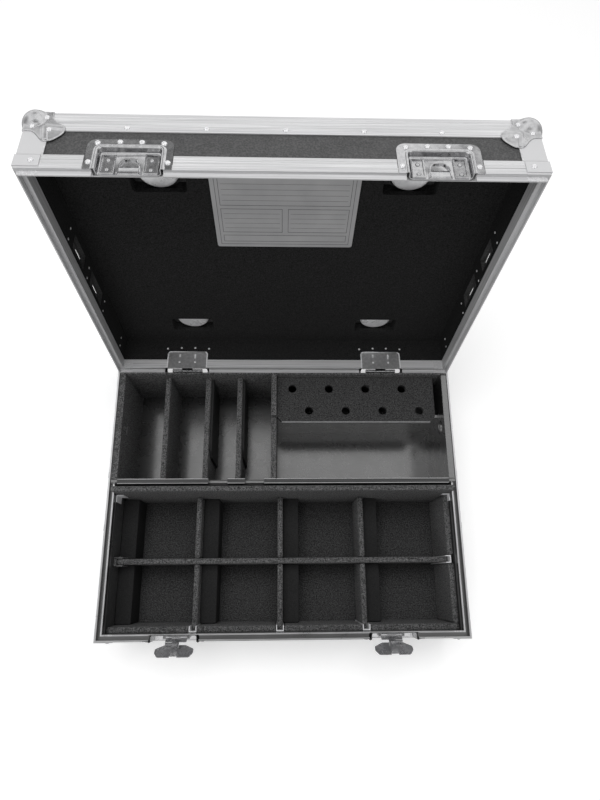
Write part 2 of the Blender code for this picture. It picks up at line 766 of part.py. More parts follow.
def latch_hub():
    """The spindle through the carrier, its washer behind, and its flat head with ears for the wings."""
    spindle = facing(plate(circle(hub_radius, latch_sides), hub_washer_near - hub_head_far + 2 * weld_depth),
                     hub_head_far - weld_depth)
    washer = facing(plate(circle(hub_washer_radius, latch_sides), hub_washer_far - hub_washer_near), hub_washer_near)
    low, high = wing_barrel_half + seat_gap, hub_head_length
    head = block((-hub_head_half, hub_head_near, -high), (hub_head_half, hub_head_far, high))
    ears = [block((-hub_ear_reach, hub_head_near, near), (hub_ear_reach, hub_head_far, near + high - low))
            for near in (-high, low)]
    return weld(head, [*ears, spindle, washer])


def latch_hook(side):
    """The hook: a slotted ring on the spindle, an arm and a bar whose tip bends in over the keeper."""
    ring = circle(hook_ring_radius, latch_sides)
    slot_radius = hub_radius + pin_clearance
    slot = [point for point in circle(slot_radius, latch_sides, (0, hook_draw)) if point[1] >= hook_draw]
    slot += [point for point in circle(slot_radius, latch_sides) if point[1] < 0]
    near = -hook_reach - hook_draw
    slot = [(x, z - hook_draw) for x, z in slot]
    solid = facing(plate([(x, z - hook_draw / 2) for x, z in ring], hook_sheet, [slot]), hook_near)
    arm = block((-hook_arm_half, hook_near, near - hook_bar), (hook_arm_half, hook_near + hook_sheet,
                                                              -slot_radius - hook_draw - hook_sheet))
    shift = -side * hook_bar_offset
    bar = block((shift - hook_bar_half, hook_near, near - hook_bar), (shift + hook_bar_half, hook_tip_far, near))
    return weld(solid, [arm, bar])


def latch_wing(side):
    """One wing of the butterfly, a fishtail plate with a barrel along its root."""
    root = wing_hinge_place / wing_reach
    shape = [(wing_shares[0][0], root), *wing_shares, (wing_shares[-1][0], root)]
    solid = facing(plate([(side * x * wing_reach, z * wing_reach) for z, x in shape], wing_sheet), wing_near)
    keep = wing_barrel_half
    solid = carve(solid, [block((min(0, side * wing_root), -cut_overrun, low),
                                (max(0, side * wing_root), cut_overrun, high))
                          for low, high in ((-wing_reach, -keep), (keep, wing_reach))])
    barrel = placed(drum(wing_barrel_radius, 2 * keep, latch_sides // 2),
                    Matrix.Translation((side * wing_hinge_place, wing_near + wing_sheet / 2, -keep)))
    return weld(solid, [barrel])


def latch_keeper():
    """The fixed keeper in the lid's dish: an arched tab that stands off a foot on the dish's floor."""
    half = keeper_half
    arch = [point for point in circle(keeper_radius, latch_sides) if point[1] > 0 and abs(point[0]) < half]
    side_rise = math.sqrt(keeper_radius ** 2 - half ** 2)
    outline = [(-half, -keeper_foot), (half, -keeper_foot), (half, side_rise), *arch, (-half, side_rise)]
    tab = facing(plate(outline, keeper_sheet), keeper_near)
    foot = block((-half, keeper_near, -keeper_foot), (half, lid_floor_depth + weld_depth, keeper_sheet - keeper_foot))
    return weld(tab, [foot])


base_latch_dish = riveted_dish(base_floor_depth, [pin_bracket()])
lid_latch_dish = riveted_dish(lid_floor_depth, [latch_keeper()], lid_dish_tail)
for name, place in (("left", dish_places[0]), ("right", dish_places[1])):
    dish_part(f"base_latch_dish_{name}", base_latch_dish, "front", place, flipped, rim_z)
    dish_part(f"lid_latch_dish_{name}", lid_latch_dish, "front", place, upright, lid_rim_z, lid_pivot)
front_y = -half_depth
latch_carrier_mesh = latch_carrier()
latch_hub_mesh = latch_hub()
for name, place, side in (("left", dish_places[0], 1), ("right", dish_places[1], -1)):
    here = wall("front") @ Matrix.Translation((place, 0, rim_z))
    swing = pivot(f"{name}_latch_swing", (place, front_y + swing_depth, rim_z - swing_drop), latch_out_angle,
                  "X", case_origin)
    part(f"{name}_latch_carrier", placed(latch_carrier_mesh, here), zinc_steel, swing)
    turn = pivot(f"{name}_latch_turn", (place, front_y, rim_z), 0.0, "Y", swing)
    part(f"{name}_latch_hub", placed(latch_hub_mesh, here), zinc_steel, turn)
    part(f"{name}_latch_hook", placed(latch_hook(side), here), zinc_steel, turn)
    for wing_name, wing_side in (("outer", -side), ("inner", side)):
        place_x = place + wing_side * wing_hinge_place
        fold = pivot(f"{name}_latch_{wing_name}_fold",
                     (place_x, front_y + wing_near + wing_sheet / 2, rim_z), 0.0, "Z", turn)
        part(f"{name}_latch_{wing_name}_wing", placed(latch_wing(wing_side), here), zinc_steel, fold)


# Side handles: a riveted plate on each end with two ears, and a sprung bail that hangs in them.
handle_half = 0.062
handle_margin = 0.008
handle_rivet_inset = 0.008
side_low, side_high = foot_height + edge_flange, rim_z - rim_flange
handle_level = (side_low + side_high) / 2
handle_reach = (side_high - side_low) / 2 - handle_margin
handle_sheet = 0.0015
handle_corner = 0.010
ear_place = 0.050
ear_half = 0.0055
ear_radius = 0.0072
ear_lift = 0.022
rod_radius = 0.0038
rod_clearance = 0.0004
rod_bend = 0.009
bail_half = 0.040
bail_drop = 0.048
bend_steps = 3
handle_rivets = [(x * (handle_half - handle_rivet_inset), z * (handle_reach - handle_rivet_inset))
                 for x in (-1, 1) for z in (-1, 1)]
rod_depth = -seat_gap - handle_sheet - ear_radius


def handle_plate():
    outline = rounded(handle_half, -handle_reach, handle_reach, handle_corner, dish_arc_steps)
    # the plate stands on the laminate, which lies one skin inside the edge metal
    solid = facing(plate(outline, handle_sheet), skin - seat_gap - handle_sheet)
    back = skin - seat_gap - handle_sheet / 2
    ears = []
    for place in (-ear_place, ear_place):
        barrel = placed(along_x(drum(ear_radius, 2 * ear_half, latch_sides), place - ear_half),
                        Matrix.Translation((0, rod_depth, ear_lift)))
        saddle = block((place - ear_half, rod_depth, ear_lift - ear_radius), (place + ear_half, back, ear_lift + ear_radius))
        ears += [barrel, saddle]
    bore = along_x(drum(rod_radius + rod_clearance, 2 * handle_half, latch_sides), -handle_half)
    shell = carve(weld(solid, ears), [placed(bore, Matrix.Translation((0, rod_depth, ear_lift)))])
    return weld(shell, [grouped(wall_rivets(handle_rivets, skin - seat_gap - handle_sheet))])


def bail_path():
    """The bail's centre line about its own axis: in through one ear, down, across, up and out."""
    half, drop, bend = bail_half, bail_drop, rod_bend
    end = ear_place + ear_half
    side = [(end, 0)]
    for step in range(bend_steps + 1):
        angle = math.pi / 2 + step * math.pi / 2 / bend_steps
        side.append((half + bend * math.cos(angle), -bend + bend * math.sin(angle)))
    for step in range(bend_steps + 1):
        angle = step * math.pi / 2 / bend_steps
        side.append((half - 2 * bend + bend * math.cos(angle), -drop + bend - bend * math.sin(angle)))
    return side + [(-x, z) for x, z in reversed(side)]


def tube(points, radius):
    curve = bpy.data.curves.new("rod", "CURVE")
    curve.dimensions = "3D"
    curve.bevel_depth = radius
    curve.bevel_resolution = 2
    curve.use_fill_caps = True
    spline = curve.splines.new("POLY")
    spline.points.add(len(points) - 1)
    for point, place in zip(spline.points, points):
        point.co = (*place, 1)
    item = bpy.data.objects.new("rod", curve)
    cutters.objects.link(item)
    return evaluated(item)


bail_mesh = tube([(x, rod_depth, z + ear_lift) for x, z in bail_path()], rod_radius)
plate_mesh = handle_plate()
for side in ("left", "right"):
    here = wall(side) @ upright(handle_level)
    part(f"handle_plate_{side}", placed(plate_mesh, here), zinc_steel)
    axis_place = here @ Vector((0, rod_depth, ear_lift))
    bail_pivot = pivot(f"handle_{side}_pivot", axis_place, 0.0, "Y", case_origin)
    part(f"handle_bail_{side}", placed(bail_mesh, here), zinc_steel, bail_pivot)


# Rubber feet: tapered buffers under the base that nest in the cups of a lid below.
foot_radius = 0.022
foot_tip_radius = 0.017
foot_edge = 0.002
foot_bore = 0.0045
foot_bore_depth = 0.010
foot_profile = ((0, foot_height - seat_gap + skin), (foot_radius, foot_height - seat_gap + skin),
                (foot_radius, foot_height - foot_edge), (foot_tip_radius + foot_edge, foot_edge),
                (foot_tip_radius, 0), (foot_bore, 0), (foot_bore, foot_bore_depth), (0, foot_bore_depth))
one_foot = turned(foot_profile, round_sides)
for name, (x, y) in zip(cup_names, cup_places):
    part(f"rubber_foot_{name}", placed(one_foot, Matrix.Translation((x, y, 0))), black_rubber)


# Stacking cups: pressed cups let into the lid's top, which the feet of a case above drop into.
cup_radius = 0.0385
cup_lip_radius = 0.0335
cup_floor_radius = 0.0290
cup_depth = 0.0220
cup_sheet = 0.0011
cup_top = lid_top_z - skin + seat_gap + cup_sheet
cup_floor = lid_top_z - cup_depth
cup_profile = ((0, cup_floor + cup_sheet), (cup_floor_radius - cup_sheet, cup_floor + cup_sheet),
               (cup_lip_radius, cup_top), (cup_radius, cup_top), (cup_radius, cup_top - cup_sheet),
               (cup_lip_radius + cup_sheet, cup_top - cup_sheet), (cup_floor_radius, cup_floor), (0, cup_floor))
one_cup = turned(cup_profile, round_sides)
for name, (x, y) in zip(cup_names, cup_places):
    part(f"stacking_cup_{name}", placed(one_cup, Matrix.Translation((x, y, 0))), zinc_steel, lid_pivot)


# Lid lining: a 20 mm foam sheet under the top panel, cut away at the cups, and a bare card on it.
lining_thickness = 0.020
lining_clearance = 0.0005
window_half = 0.0385
window_behind = 0.027
window_ahead = 0.012
pocket_radius = 0.0360
pocket_clearance = 0.0012
lining_top = lid_top_z - skin - panel_thickness - seat_gap
lining_low = lining_top - lining_thickness
lining_half = Vector((half_width - inner - lining_clearance, half_depth - inner - lining_clearance))


def lid_lining():
    solid = block((-lining_half.x, -lining_half.y, lining_low), (lining_half.x, lining_half.y, lining_top))
    tools = []
    for x, y in cup_places:
        pocket = drum(pocket_radius, lining_thickness, round_sides)
        tools.append(placed(pocket, Matrix.Translation((x, y, cup_floor - pocket_clearance))))
        tools.append(block((x - window_half, y - window_ahead, lining_low - cut_overrun),
                           (x + window_half, y + window_behind, lining_top + cut_overrun)))
    return carve(solid, tools)


part("lid_lining", lid_lining(), foam, lid_pivot)
card_width = 0.210
card_height = 0.1485
card_thickness = 0.0015
card_setback = 0.0575
card_rear = card_setback + card_height - half_depth
part("lid_card", block((-card_width / 2, card_rear - card_height, lining_low - seat_gap - card_thickness),
                       (card_width / 2, card_rear, lining_low - seat_gap)), card_stock, lid_pivot)


# Front section: a tall carpeted panel across the case, and halved dividers that make eight bays.
pad_thickness = 0.006
board = 0.010
fit = 0.0006
section_setback = 0.2295
section_rise = 0.030
lining_board = 0.011
lining_drop = 0.028
grid_shift = -0.0025
compartments_in_row = 4
divider_drop = 0.047
cross_drop = 0.040
cross_setback = 0.3585
channel_half = 0.0065
channel_sheet = 0.0012
channel_depth = 0.0100
channel_drop = 0.026
wrapped_half = 0.0085
wrapped_depth = 0.0165
wedge_width = 0.030
wedge_drop = 0.077
pad_low = foot_height + skin + panel_thickness + seat_gap
floor_z = pad_low + pad_thickness
standing_z = floor_z + seat_gap
room_half = half_width - inner - fit
room_front = -half_depth + inner + fit
room_rear = half_depth - inner - fit
clear_half = half_width - rim_width - fit
section_rear_y = half_depth - section_setback
section_front_y = section_rear_y - board
side_lining_x = room_half - lining_board
front_lining_y = room_front + lining_board
cross_y = half_depth - cross_setback
divider_pitch = (side_lining_x + room_half) / compartments_in_row
divider_places = [side_lining_x + grid_shift - divider_pitch * number for number in (3, 2, 1)]
slot_half = board / 2 + fit / 2
post_back = room_front + channel_sheet + seat_gap
lining_top_z = rim_z - lining_drop


def section_lining():
    """Carpeted boards on the front and right walls, recessed for the upright channels."""
    front = block((-room_half, room_front, standing_z), (room_half, front_lining_y, lining_top_z))
    right = block((side_lining_x, room_front, standing_z), (room_half, section_front_y - seat_gap, lining_top_z))
    half = channel_half + seat_gap
    cuts = [block((x - half, post_back - seat_gap, foot_height), (x + half, front_lining_y + cut_overrun, rim_z))
            for x in divider_places]
    recess = side_lining_x + channel_depth / 2
    cuts.append(block((side_lining_x - cut_overrun, cross_y - half, foot_height), (recess + seat_gap, cross_y + half, rim_z)))
    return carve(weld(front, [right]), cuts)


def base_floor():
    """The carpeted floor pad, with a prop along each compartment's left side and the wrapped channel."""
    pad = block((-room_half, room_front, pad_low), (room_half, room_rear, floor_z))
    starts = [-room_half] + [x + board / 2 + seat_gap for x in divider_places]
    rows = ((post_back + channel_depth + seat_gap, cross_y - board / 2 - seat_gap),
            (cross_y + board / 2 + seat_gap, section_front_y - seat_gap))
    # each prop reaches down into the pad that it stands on
    props = [block((start, low, pad_low + weld_depth), (start + wedge_width, high, rim_z - wedge_drop))
             for start in starts for low, high in rows]
    wrapped = block((-room_half, cross_y - wrapped_half, pad_low + weld_depth),
                    (-room_half + wrapped_depth, cross_y + wrapped_half, rim_z - channel_drop))
    slot = block((-room_half + channel_depth / 2, cross_y - slot_half, floor_z), (0, cross_y + slot_half, rim_z))
    return carve(weld(pad, [*props, wrapped]), [slot])


part("base_floor_lining", base_floor(), carpet)
part("section_lining", section_lining(), carpet)


def channel():
    """A U-shaped aluminium channel standing with its open side towards +Y."""
    half, hollow = channel_half, channel_half - channel_sheet
    shape = [(-half, 0), (half, 0), (half, channel_depth), (hollow, channel_depth), (hollow, channel_sheet),
             (-hollow, channel_sheet), (-hollow, channel_depth), (-half, channel_depth)]
    return plate(shape, rim_z - channel_drop - standing_z)


channel_mesh = channel()
for name, x in zip(("left", "middle", "right"), divider_places):
    part(f"divider_post_{name}", placed(channel_mesh, Matrix.Translation((x, post_back, standing_z))), aluminium)
cross_channel_x = side_lining_x + channel_depth / 2
part("cross_divider_channel", placed(channel_mesh, Matrix.Translation((cross_channel_x, cross_y, standing_z))
                                     @ Matrix.Rotation(math.pi / 2, 4, "Z")), aluminium)
long_top = rim_z - divider_drop
cross_top = rim_z - cross_drop
halving_z = (floor_z + long_top) / 2


def long_divider(x):
    solid = block((x - board / 2, post_back + channel_sheet + seat_gap, standing_z),
                  (x + board / 2, section_front_y - seat_gap, long_top))
    slot = block((x - board, cross_y - slot_half, halving_z - fit / 2), (x + board, cross_y + slot_half, rim_z))
    return carve(solid, [slot])


def cross_divider():
    low = -room_half + channel_depth / 2 + seat_gap
    high = cross_channel_x - channel_sheet - seat_gap
    solid = block((low, cross_y - board / 2, standing_z), (high, cross_y + board / 2, cross_top))
    slots = [block((x - slot_half, cross_y - board, foot_height), (x + slot_half, cross_y + board, halving_z + fit / 2))
             for x in divider_places]
    return carve(solid, slots)


for name, x in zip(("left", "middle", "right"), divider_places):
    part(f"long_divider_{name}", long_divider(x), carpet)
part("cross_divider", cross_divider(), carpet)
bracket_leg = 0.018
bracket_sheet = 0.0012
bracket_high = 0.014
bracket_low = 0.048


def section_panel():
    """The tall panel, with an aluminium angle welded on at each end where it is held to the wall."""
    solid = block((-clear_half, section_front_y, standing_z), (clear_half, section_rear_y, rim_z + section_rise))
    angles = []
    # the right one stands on the side lining, which ends below the rim
    for side, low in ((-1, bracket_low), (1, lining_drop - seat_gap)):
        x, y = side * (clear_half - seat_gap), section_front_y + weld_depth
        back, leg = -side * bracket_sheet, -side * bracket_leg
        shape = [(x, y), (x + leg, y), (x + leg, y - bracket_sheet), (x + back, y - bracket_sheet),
                 (x + back, y - bracket_leg), (x, y - bracket_leg)]
        angles.append(placed(plate(shape, low - bracket_high), upright(rim_z - low)))
    return weld(solid, angles)


part("section_panel", section_panel(), carpet)


# Lift-out tray: a board box behind the section, with a lined left part and a bay with a shelf.
tray_rear_setback = 0.0132
tray_front_setback = 0.2260
tray_board_thin = 0.006
tray_rear_board = 0.004
tray_end_board = 0.011
tray_floor_rise = 0.025
tray_rise = 0.030
tray_half = clear_half - 0.0004
cap_sheet = 0.0010
cap_depth = 0.0180
cap_notch_depth = 0.0140
cap_notch_width = 0.034
cap_notch_setbacks = (0.1806, 0.2466)
finger_radius = 0.013
finger_setback = 0.1145
finger_drop = 0.0
tray_rear_y = half_depth - tray_rear_setback
tray_front_y = half_depth - tray_front_setback
tray_top = rim_z + tray_rise
tray_floor_top = floor_z + tray_floor_rise
tray_in_rear = tray_rear_y - tray_rear_board
tray_wall_front = tray_front_y + cap_sheet + seat_gap
tray_in_front = tray_wall_front + tray_board_thin
tray_in_half = tray_half - tray_end_board
cap_notches = [setback - tray_in_half for setback in cap_notch_setbacks]
tray_pivot = pivot("tray_lift", (0, tray_front_y, tray_floor_top), 0.0, "Z", case_origin)
inner_front = tray_in_front + cap_sheet + 2 * seat_gap
tray_floor_low = tray_floor_top - tray_board_thin
low_divider_setbacks = (0.0766, 0.1536, 0.2146)
low_divider_places = [setback - tray_in_half for setback in low_divider_setbacks]
low_divider_rise = 0.008
slip_board = 0.0045
slip_rise = -0.004
slip_setback = 0.170
bay_wall_setback = 0.2806
bay_wall_place = bay_wall_setback - tray_in_half
bay_notch_setback = 0.098
bay_notch_length = 0.033
bay_notch_depth = 0.012
shelf_rise = 0.015
shelf_front_setback = 0.1055
shelf_end_gap = 0.0121
shelf_right = tray_in_half - shelf_end_gap
shelf_clip = 0.009
shelf_left = bay_wall_place + board / 2 + seat_gap
shelf_front_y = half_depth - shelf_front_setback
shelf_top = rim_z + shelf_rise
shelf_low = shelf_top - board
support_y = shelf_front_y + shelf_clip


def tray_box():
    """Walls and floor, then the low dividers, the bay wall and the shelf's support glued between them."""
    shell = block((-tray_half, tray_wall_front, standing_z), (tray_half, tray_rear_y, tray_top))
    room = block((-tray_in_half, tray_in_front, tray_floor_top), (tray_in_half, tray_in_rear, tray_top + cut_overrun))
    under = block((-tray_in_half, tray_in_front, foot_height), (tray_in_half, tray_in_rear, tray_floor_low))
    notches = [block((x - cap_notch_width / 2, tray_wall_front - cut_overrun, tray_top - cap_notch_depth),
                     (x + cap_notch_width / 2, tray_in_front + cut_overrun, tray_top + cut_overrun))
               for x in cap_notches]
    hole = placed(along_x(drum(finger_radius, 2 * half_width, round_sides), -half_width),
                  Matrix.Translation((0, half_depth - finger_setback, rim_z - finger_drop)))
    shell = carve(shell, [room, under, hole, *notches])
    low, front, rear = tray_floor_top - weld_depth, tray_in_front - weld_depth, tray_in_rear + weld_depth
    # the top of a board that stands under the cap stops short of it
    boards = [block((x - board / 2, inner_front, low), (x + board / 2, rear, rim_z + low_divider_rise))
              for x in low_divider_places]
    for x in low_divider_places[1:]:
        near = x + board / 2 - weld_depth
        boards.append(block((near, half_depth - slip_setback, low), (near + slip_board, rear, rim_z + slip_rise)))
    notch_y = half_depth - bay_notch_setback
    bay_wall = carve(block((bay_wall_place - board / 2, inner_front, low), (bay_wall_place + board / 2, rear, tray_top)),
                     [block((bay_wall_place - board, notch_y - bay_notch_length, tray_top - bay_notch_depth),
                            (bay_wall_place + board, notch_y, tray_top + cut_overrun))])
    support = block((bay_wall_place, support_y, low),
                    (tray_in_half + weld_depth, support_y + tray_board_thin, shelf_low - seat_gap))
    return weld(shell, [*boards, bay_wall, support])


def tray_cap():
    """An aluminium U-section along the front wall's top, cut away at two finger notches."""
    rise = tray_top + seat_gap
    near, far = tray_wall_front - seat_gap, tray_in_front + seat_gap
    shape = [(near - cap_sheet, rise - cap_depth), (near - cap_sheet, rise + cap_sheet), (far + cap_sheet, rise + cap_sheet),
             (far + cap_sheet, rise - cap_depth), (far, rise - cap_depth), (far, rise), (near, rise), (near, rise - cap_depth)]
    end = tray_in_half - seat_gap
    cuts = [block((x - cap_notch_width / 2, near - cut_overrun, tray_top - cap_notch_depth),
                  (x + cap_notch_width / 2, far + cut_overrun, rise + cut_overrun)) for x in cap_notches]
    return carve(drawn_along_x(shape, -end, end), cuts)


part("tray_box", tray_box(), tray_board, tray_pivot)
part("tray_front_cap", tray_cap(), tray_metal, tray_pivot)

# Spigot shelf: a carpeted board with eight round holes, across the rear of the tray's open bay.
hole_radius = 0.008
hole_margin = 0.0300
hole_stagger_share = 0.445
holes_in_row = 4
strip_sheet = 0.003
shelf_rear_y = tray_in_rear - seat_gap
hole_pitch = (shelf_right - shelf_left - 2 * hole_margin) / (holes_in_row - 1 + hole_stagger_share)
hole_rows = ((-0.0410, shelf_left + hole_margin),
             (-0.0850, shelf_left + hole_margin + hole_stagger_share * hole_pitch))
shelf_outline = [(shelf_left, shelf_rear_y), (shelf_left, shelf_front_y + shelf_clip),
                 (shelf_left + shelf_clip, shelf_front_y), (shelf_right - shelf_clip, shelf_front_y),
                 (shelf_right, shelf_front_y + shelf_clip), (shelf_right, shelf_rear_y)]
# each hole is turned a little further, so that no corners of two holes fall in line
hole_turn = math.radians(4.0)
shelf_holes = [circle(hole_radius, latch_sides, (start + number * hole_pitch, half_depth + setback), number * hole_turn)
               for setback, start in hole_rows for number in range(holes_in_row)]
strip_inset = shelf_clip + weld_depth
strip = block((shelf_left + strip_inset, shelf_front_y - strip_sheet, shelf_low + weld_depth),
              (shelf_right - strip_inset, shelf_front_y + weld_depth, shelf_top - weld_depth))
part("spigot_shelf", weld(placed(plate(shelf_outline, board, shelf_holes), upright(shelf_low)), [strip]),
     carpet, tray_pivot)


# The frame's origin: on the floor under the middle of the open case's box.
bpy.context.view_layer.update()
reach_low, reach_high = [], []
for item in parts.objects:
    if item.type == "MESH":
        spots = [item.matrix_world @ vertex.co for vertex in item.data.vertices]
        reach_low.append(min(spot.y for spot in spots))
        reach_high.append(max(spot.y for spot in spots))
case_origin.location.y = -(min(reach_low) + max(reach_high)) / 2
bpy.context.view_layer.update()
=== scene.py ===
import json
import math

import bmesh
import bpy
from mathutils import Matrix, Vector


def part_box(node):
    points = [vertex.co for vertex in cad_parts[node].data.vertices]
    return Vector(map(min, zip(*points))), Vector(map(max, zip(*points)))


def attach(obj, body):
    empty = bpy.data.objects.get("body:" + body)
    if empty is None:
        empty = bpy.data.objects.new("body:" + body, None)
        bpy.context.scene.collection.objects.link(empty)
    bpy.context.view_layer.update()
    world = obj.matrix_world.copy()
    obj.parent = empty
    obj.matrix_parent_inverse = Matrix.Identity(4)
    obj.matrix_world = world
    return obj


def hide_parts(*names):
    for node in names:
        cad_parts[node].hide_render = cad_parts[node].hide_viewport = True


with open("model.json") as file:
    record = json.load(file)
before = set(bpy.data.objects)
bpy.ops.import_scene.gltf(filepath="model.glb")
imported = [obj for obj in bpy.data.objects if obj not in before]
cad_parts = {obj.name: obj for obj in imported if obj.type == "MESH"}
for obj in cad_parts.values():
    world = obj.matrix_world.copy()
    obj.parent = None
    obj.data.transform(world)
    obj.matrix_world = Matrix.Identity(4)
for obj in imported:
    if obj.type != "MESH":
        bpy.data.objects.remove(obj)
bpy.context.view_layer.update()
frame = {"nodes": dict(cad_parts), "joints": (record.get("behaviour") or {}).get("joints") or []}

# The studio: a pale seamless floor, white surroundings that the metals mirror, one broad soft box
# overhead and a weaker one in front. The camera stands above the case's front edge and looks down
# into it, as the photographer did.
scene = bpy.context.scene


def new_object(name, data):
    item = bpy.data.objects.new(name, data)
    scene.collection.objects.link(item)
    return item


camera = new_object("camera", bpy.data.cameras.new("camera"))
camera.location = (-0.00414, -0.22149, 1.24080)
camera.rotation_euler = [math.radians(turn) for turn in (17.391, -1.703, -0.497)]
camera.data.sensor_width = 36
camera.data.lens = 25.693
camera.data.clip_start = 0.01
scene.camera = camera
scene.view_settings.view_transform = "Standard"


def soft_box(name, place, aim, size, watts):
    lamp = new_object(name, bpy.data.lights.new(name, "AREA"))
    lamp.data.shape = "RECTANGLE"
    lamp.data.size, lamp.data.size_y = size
    lamp.data.energy = watts
    lamp.location = place
    lamp.rotation_euler = (Vector(aim) - Vector(place)).to_track_quat("-Z", "Y").to_euler()
    # what the metals mirror is painted in the surroundings below
    lamp.visible_glossy = False


soft_box("overhead_box", (-0.2, 0.40, 3.0), (0, 0.1, 0.2), (2.4, 1.3), 60)
soft_box("front_box", (-0.9, -2.4, 1.6), (0, 0.2, 0.3), (1.6, 1.2), 10)


def bare_tree(owner):
    """The node tree of a world or a material, emptied."""
    owner.use_nodes = True
    owner.node_tree.nodes.clear()
    return owner.node_tree


def given(thing, settings):
    for key, value in settings.items():
        setattr(thing, key, value)
    return thing


def joined(tree, kind, inputs=None, **settings):
    """A shader node with its settings, and its inputs set to values or joined to sockets."""
    node = given(tree.nodes.new("ShaderNode" + kind), settings)
    for key, value in (inputs or {}).items():
        socket = node.inputs[key]
        if isinstance(value, bpy.types.NodeSocket):
            tree.links.new(value, socket)
        else:
            socket.default_value = value
    return node


def maths(tree, operation, value, other=0.0):
    return joined(tree, "Math", {0: value, 1: other}, operation=operation).outputs[0]


def seen_by(tree, *rays):
    """1 for the camera and for the named kinds of ray, else 0."""
    path = joined(tree, "LightPath")
    value = path.outputs["Is Camera Ray"]
    for ray in rays:
        value = maths(tree, "MAXIMUM", value, path.outputs[ray])
    return value


def dark_patch(tree, towards, inner, outer, depth, narrowed=1.0):
    """Falls from 1 to a depth inside a cone of directions, as a doorway or a dark wall does in a room."""
    way = joined(tree, "TexCoord").outputs["Generated"]
    way = joined(tree, "VectorMath", {0: way, 1: (narrowed, 1, 1)}, operation="MULTIPLY").outputs[0]
    way = joined(tree, "VectorMath", {0: way}, operation="NORMALIZE").outputs[0]
    near = joined(tree, "VectorMath", {0: way, 1: Vector(towards).normalized()}, operation="DOT_PRODUCT")
    cone = {0: near.outputs["Value"], 1: math.cos(outer), 2: math.cos(inner), 3: 1.0, 4: depth}
    return joined(tree, "MapRange", cone, interpolation_type="SMOOTHSTEP").outputs[0]


world = bpy.data.worlds.new("white_studio")
scene.world = world
tree = bare_tree(world)
mirrored_white, daylight = 1.15, 0.40
room = mirrored_white
for patch in (((-0.22, 0.82, 0.50), 0.10, 0.22, 0.15), ((0.32, 0.80, 0.50), 0.04, 0.10, 0.2),
              ((-0.9, 0.3, 0.3), 0.15, 0.50, 0.25), ((0.9, 0.2, 0.15), 0.15, 0.55, 0.30),
              ((0.1, -0.9, 0.25), 0.20, 0.55, 0.30), ((0.0, -0.09, 1.0), 0.10, 0.24, 0.12, 0.45)):
    room = maths(tree, "MULTIPLY", room, dark_patch(tree, *patch))
mirrored = maths(tree, "MAXIMUM", room, seen_by(tree))
shown = seen_by(tree, "Is Glossy Ray", "Is Transmission Ray")
lit = joined(tree, "Mix", {0: shown, 2: daylight, 3: mirrored})
backdrop = joined(tree, "Background", {"Color": (1, 1, 1, 1), "Strength": lit.outputs[0]})
joined(tree, "OutputWorld", {"Surface": backdrop.outputs[0]})

floor_half, floor_grey, floor_lift = 4.0, 0.80, 0.32
floor_mesh = bpy.data.meshes.new("studio_floor")
floor_corners = [(x * floor_half, y * floor_half, 0) for x, y in ((-1, -1), (1, -1), (1, 1), (-1, 1))]
floor_mesh.from_pydata(floor_corners, [], [(0, 1, 2, 3)])
studio_floor = new_object("studio_floor", floor_mesh)
floor_paint = bpy.data.materials.new("pale_floor")
tree = bare_tree(floor_paint)
matt = joined(tree, "BsdfDiffuse", {"Color": (floor_grey, floor_grey, floor_grey, 1)})
lift = maths(tree, "MULTIPLY", seen_by(tree), floor_lift)
glow = joined(tree, "Emission", {"Color": (1, 1, 1, 1), "Strength": lift})
painted = joined(tree, "AddShader", {0: matt.outputs[0], 1: glow.outputs[0]})
joined(tree, "OutputMaterial", {"Surface": painted.outputs[0]})
floor_mesh.materials.append(floor_paint)


# Drawn aluminium: the rim and double-angle extrusions and the dividers' channels. The ribs come with
# the section of the metal; the die leaves fine lines along each run, and handling leaves smudges.
def surface(name, grey, roughness, metallic=0.0, **extra):
    """A material whose tree holds one principled shader with these plain values."""
    material = bpy.data.materials.new(name)
    tree = bare_tree(material)
    values = {"Base Color": (grey, grey, grey, 1), "Roughness": roughness, "Metallic": metallic}
    values.update({key.replace("_", " "): value for key, value in extra.items()})
    shader = joined(tree, "BsdfPrincipled", values)
    shader.name = "shader"
    joined(tree, "OutputMaterial", {"Surface": shader.outputs[0]})
    return material


def spots(material, stretch=(1, 1, 1), turn=(0, 0, 0)):
    """Object coordinates, stretched so that a pattern can run long along one axis."""
    tree = material.node_tree
    origin = joined(tree, "TexCoord").outputs["Object"]
    # a second mapping scales after the turn, which a single one would do before it
    turned = joined(tree, "Mapping", {"Vector": origin, "Rotation": turn}).outputs[0]
    return joined(tree, "Mapping", {"Vector": turned, "Scale": stretch}).outputs[0]


def grain(material, scale, detail=2.0, rough=0.5, where=None):
    inputs = {"Vector": where or spots(material), "Scale": scale, "Detail": detail, "Roughness": rough}
    return joined(material.node_tree, "TexNoise", inputs).outputs["Fac"]


def pattern(material, value):
    """A pattern's socket, or the grain of a given scale, detail and roughness."""
    return grain(material, *value) if isinstance(value, tuple) else value


def spread(material, value, low, high, start=0.3, end=0.7):
    """A pattern's middle range spread between two plain numbers."""
    inputs = {0: pattern(material, value), 1: start, 2: end, 3: low, 4: high}
    return joined(material.node_tree, "MapRange", inputs).outputs[0]


def tint(material, value, dark, light, start=0.3, end=0.7):
    """A pattern's middle range spread between two greys, as the shader's base colour."""
    tree = material.node_tree
    inputs = {0: spread(material, value, 0.0, 1.0, start, end), 6: (dark, dark, dark * 1.02, 1),
              7: (light, light, light * 1.01, 1)}
    mixed = joined(tree, "Mix", inputs, data_type="RGBA")
    tree.links.new(mixed.outputs[2], tree.nodes["shader"].inputs["Base Color"])


def uneven(material, value, low, high):
    """A pattern spread between two roughnesses."""
    tree = material.node_tree
    tree.links.new(spread(material, value, low, high), tree.nodes["shader"].inputs["Roughness"])


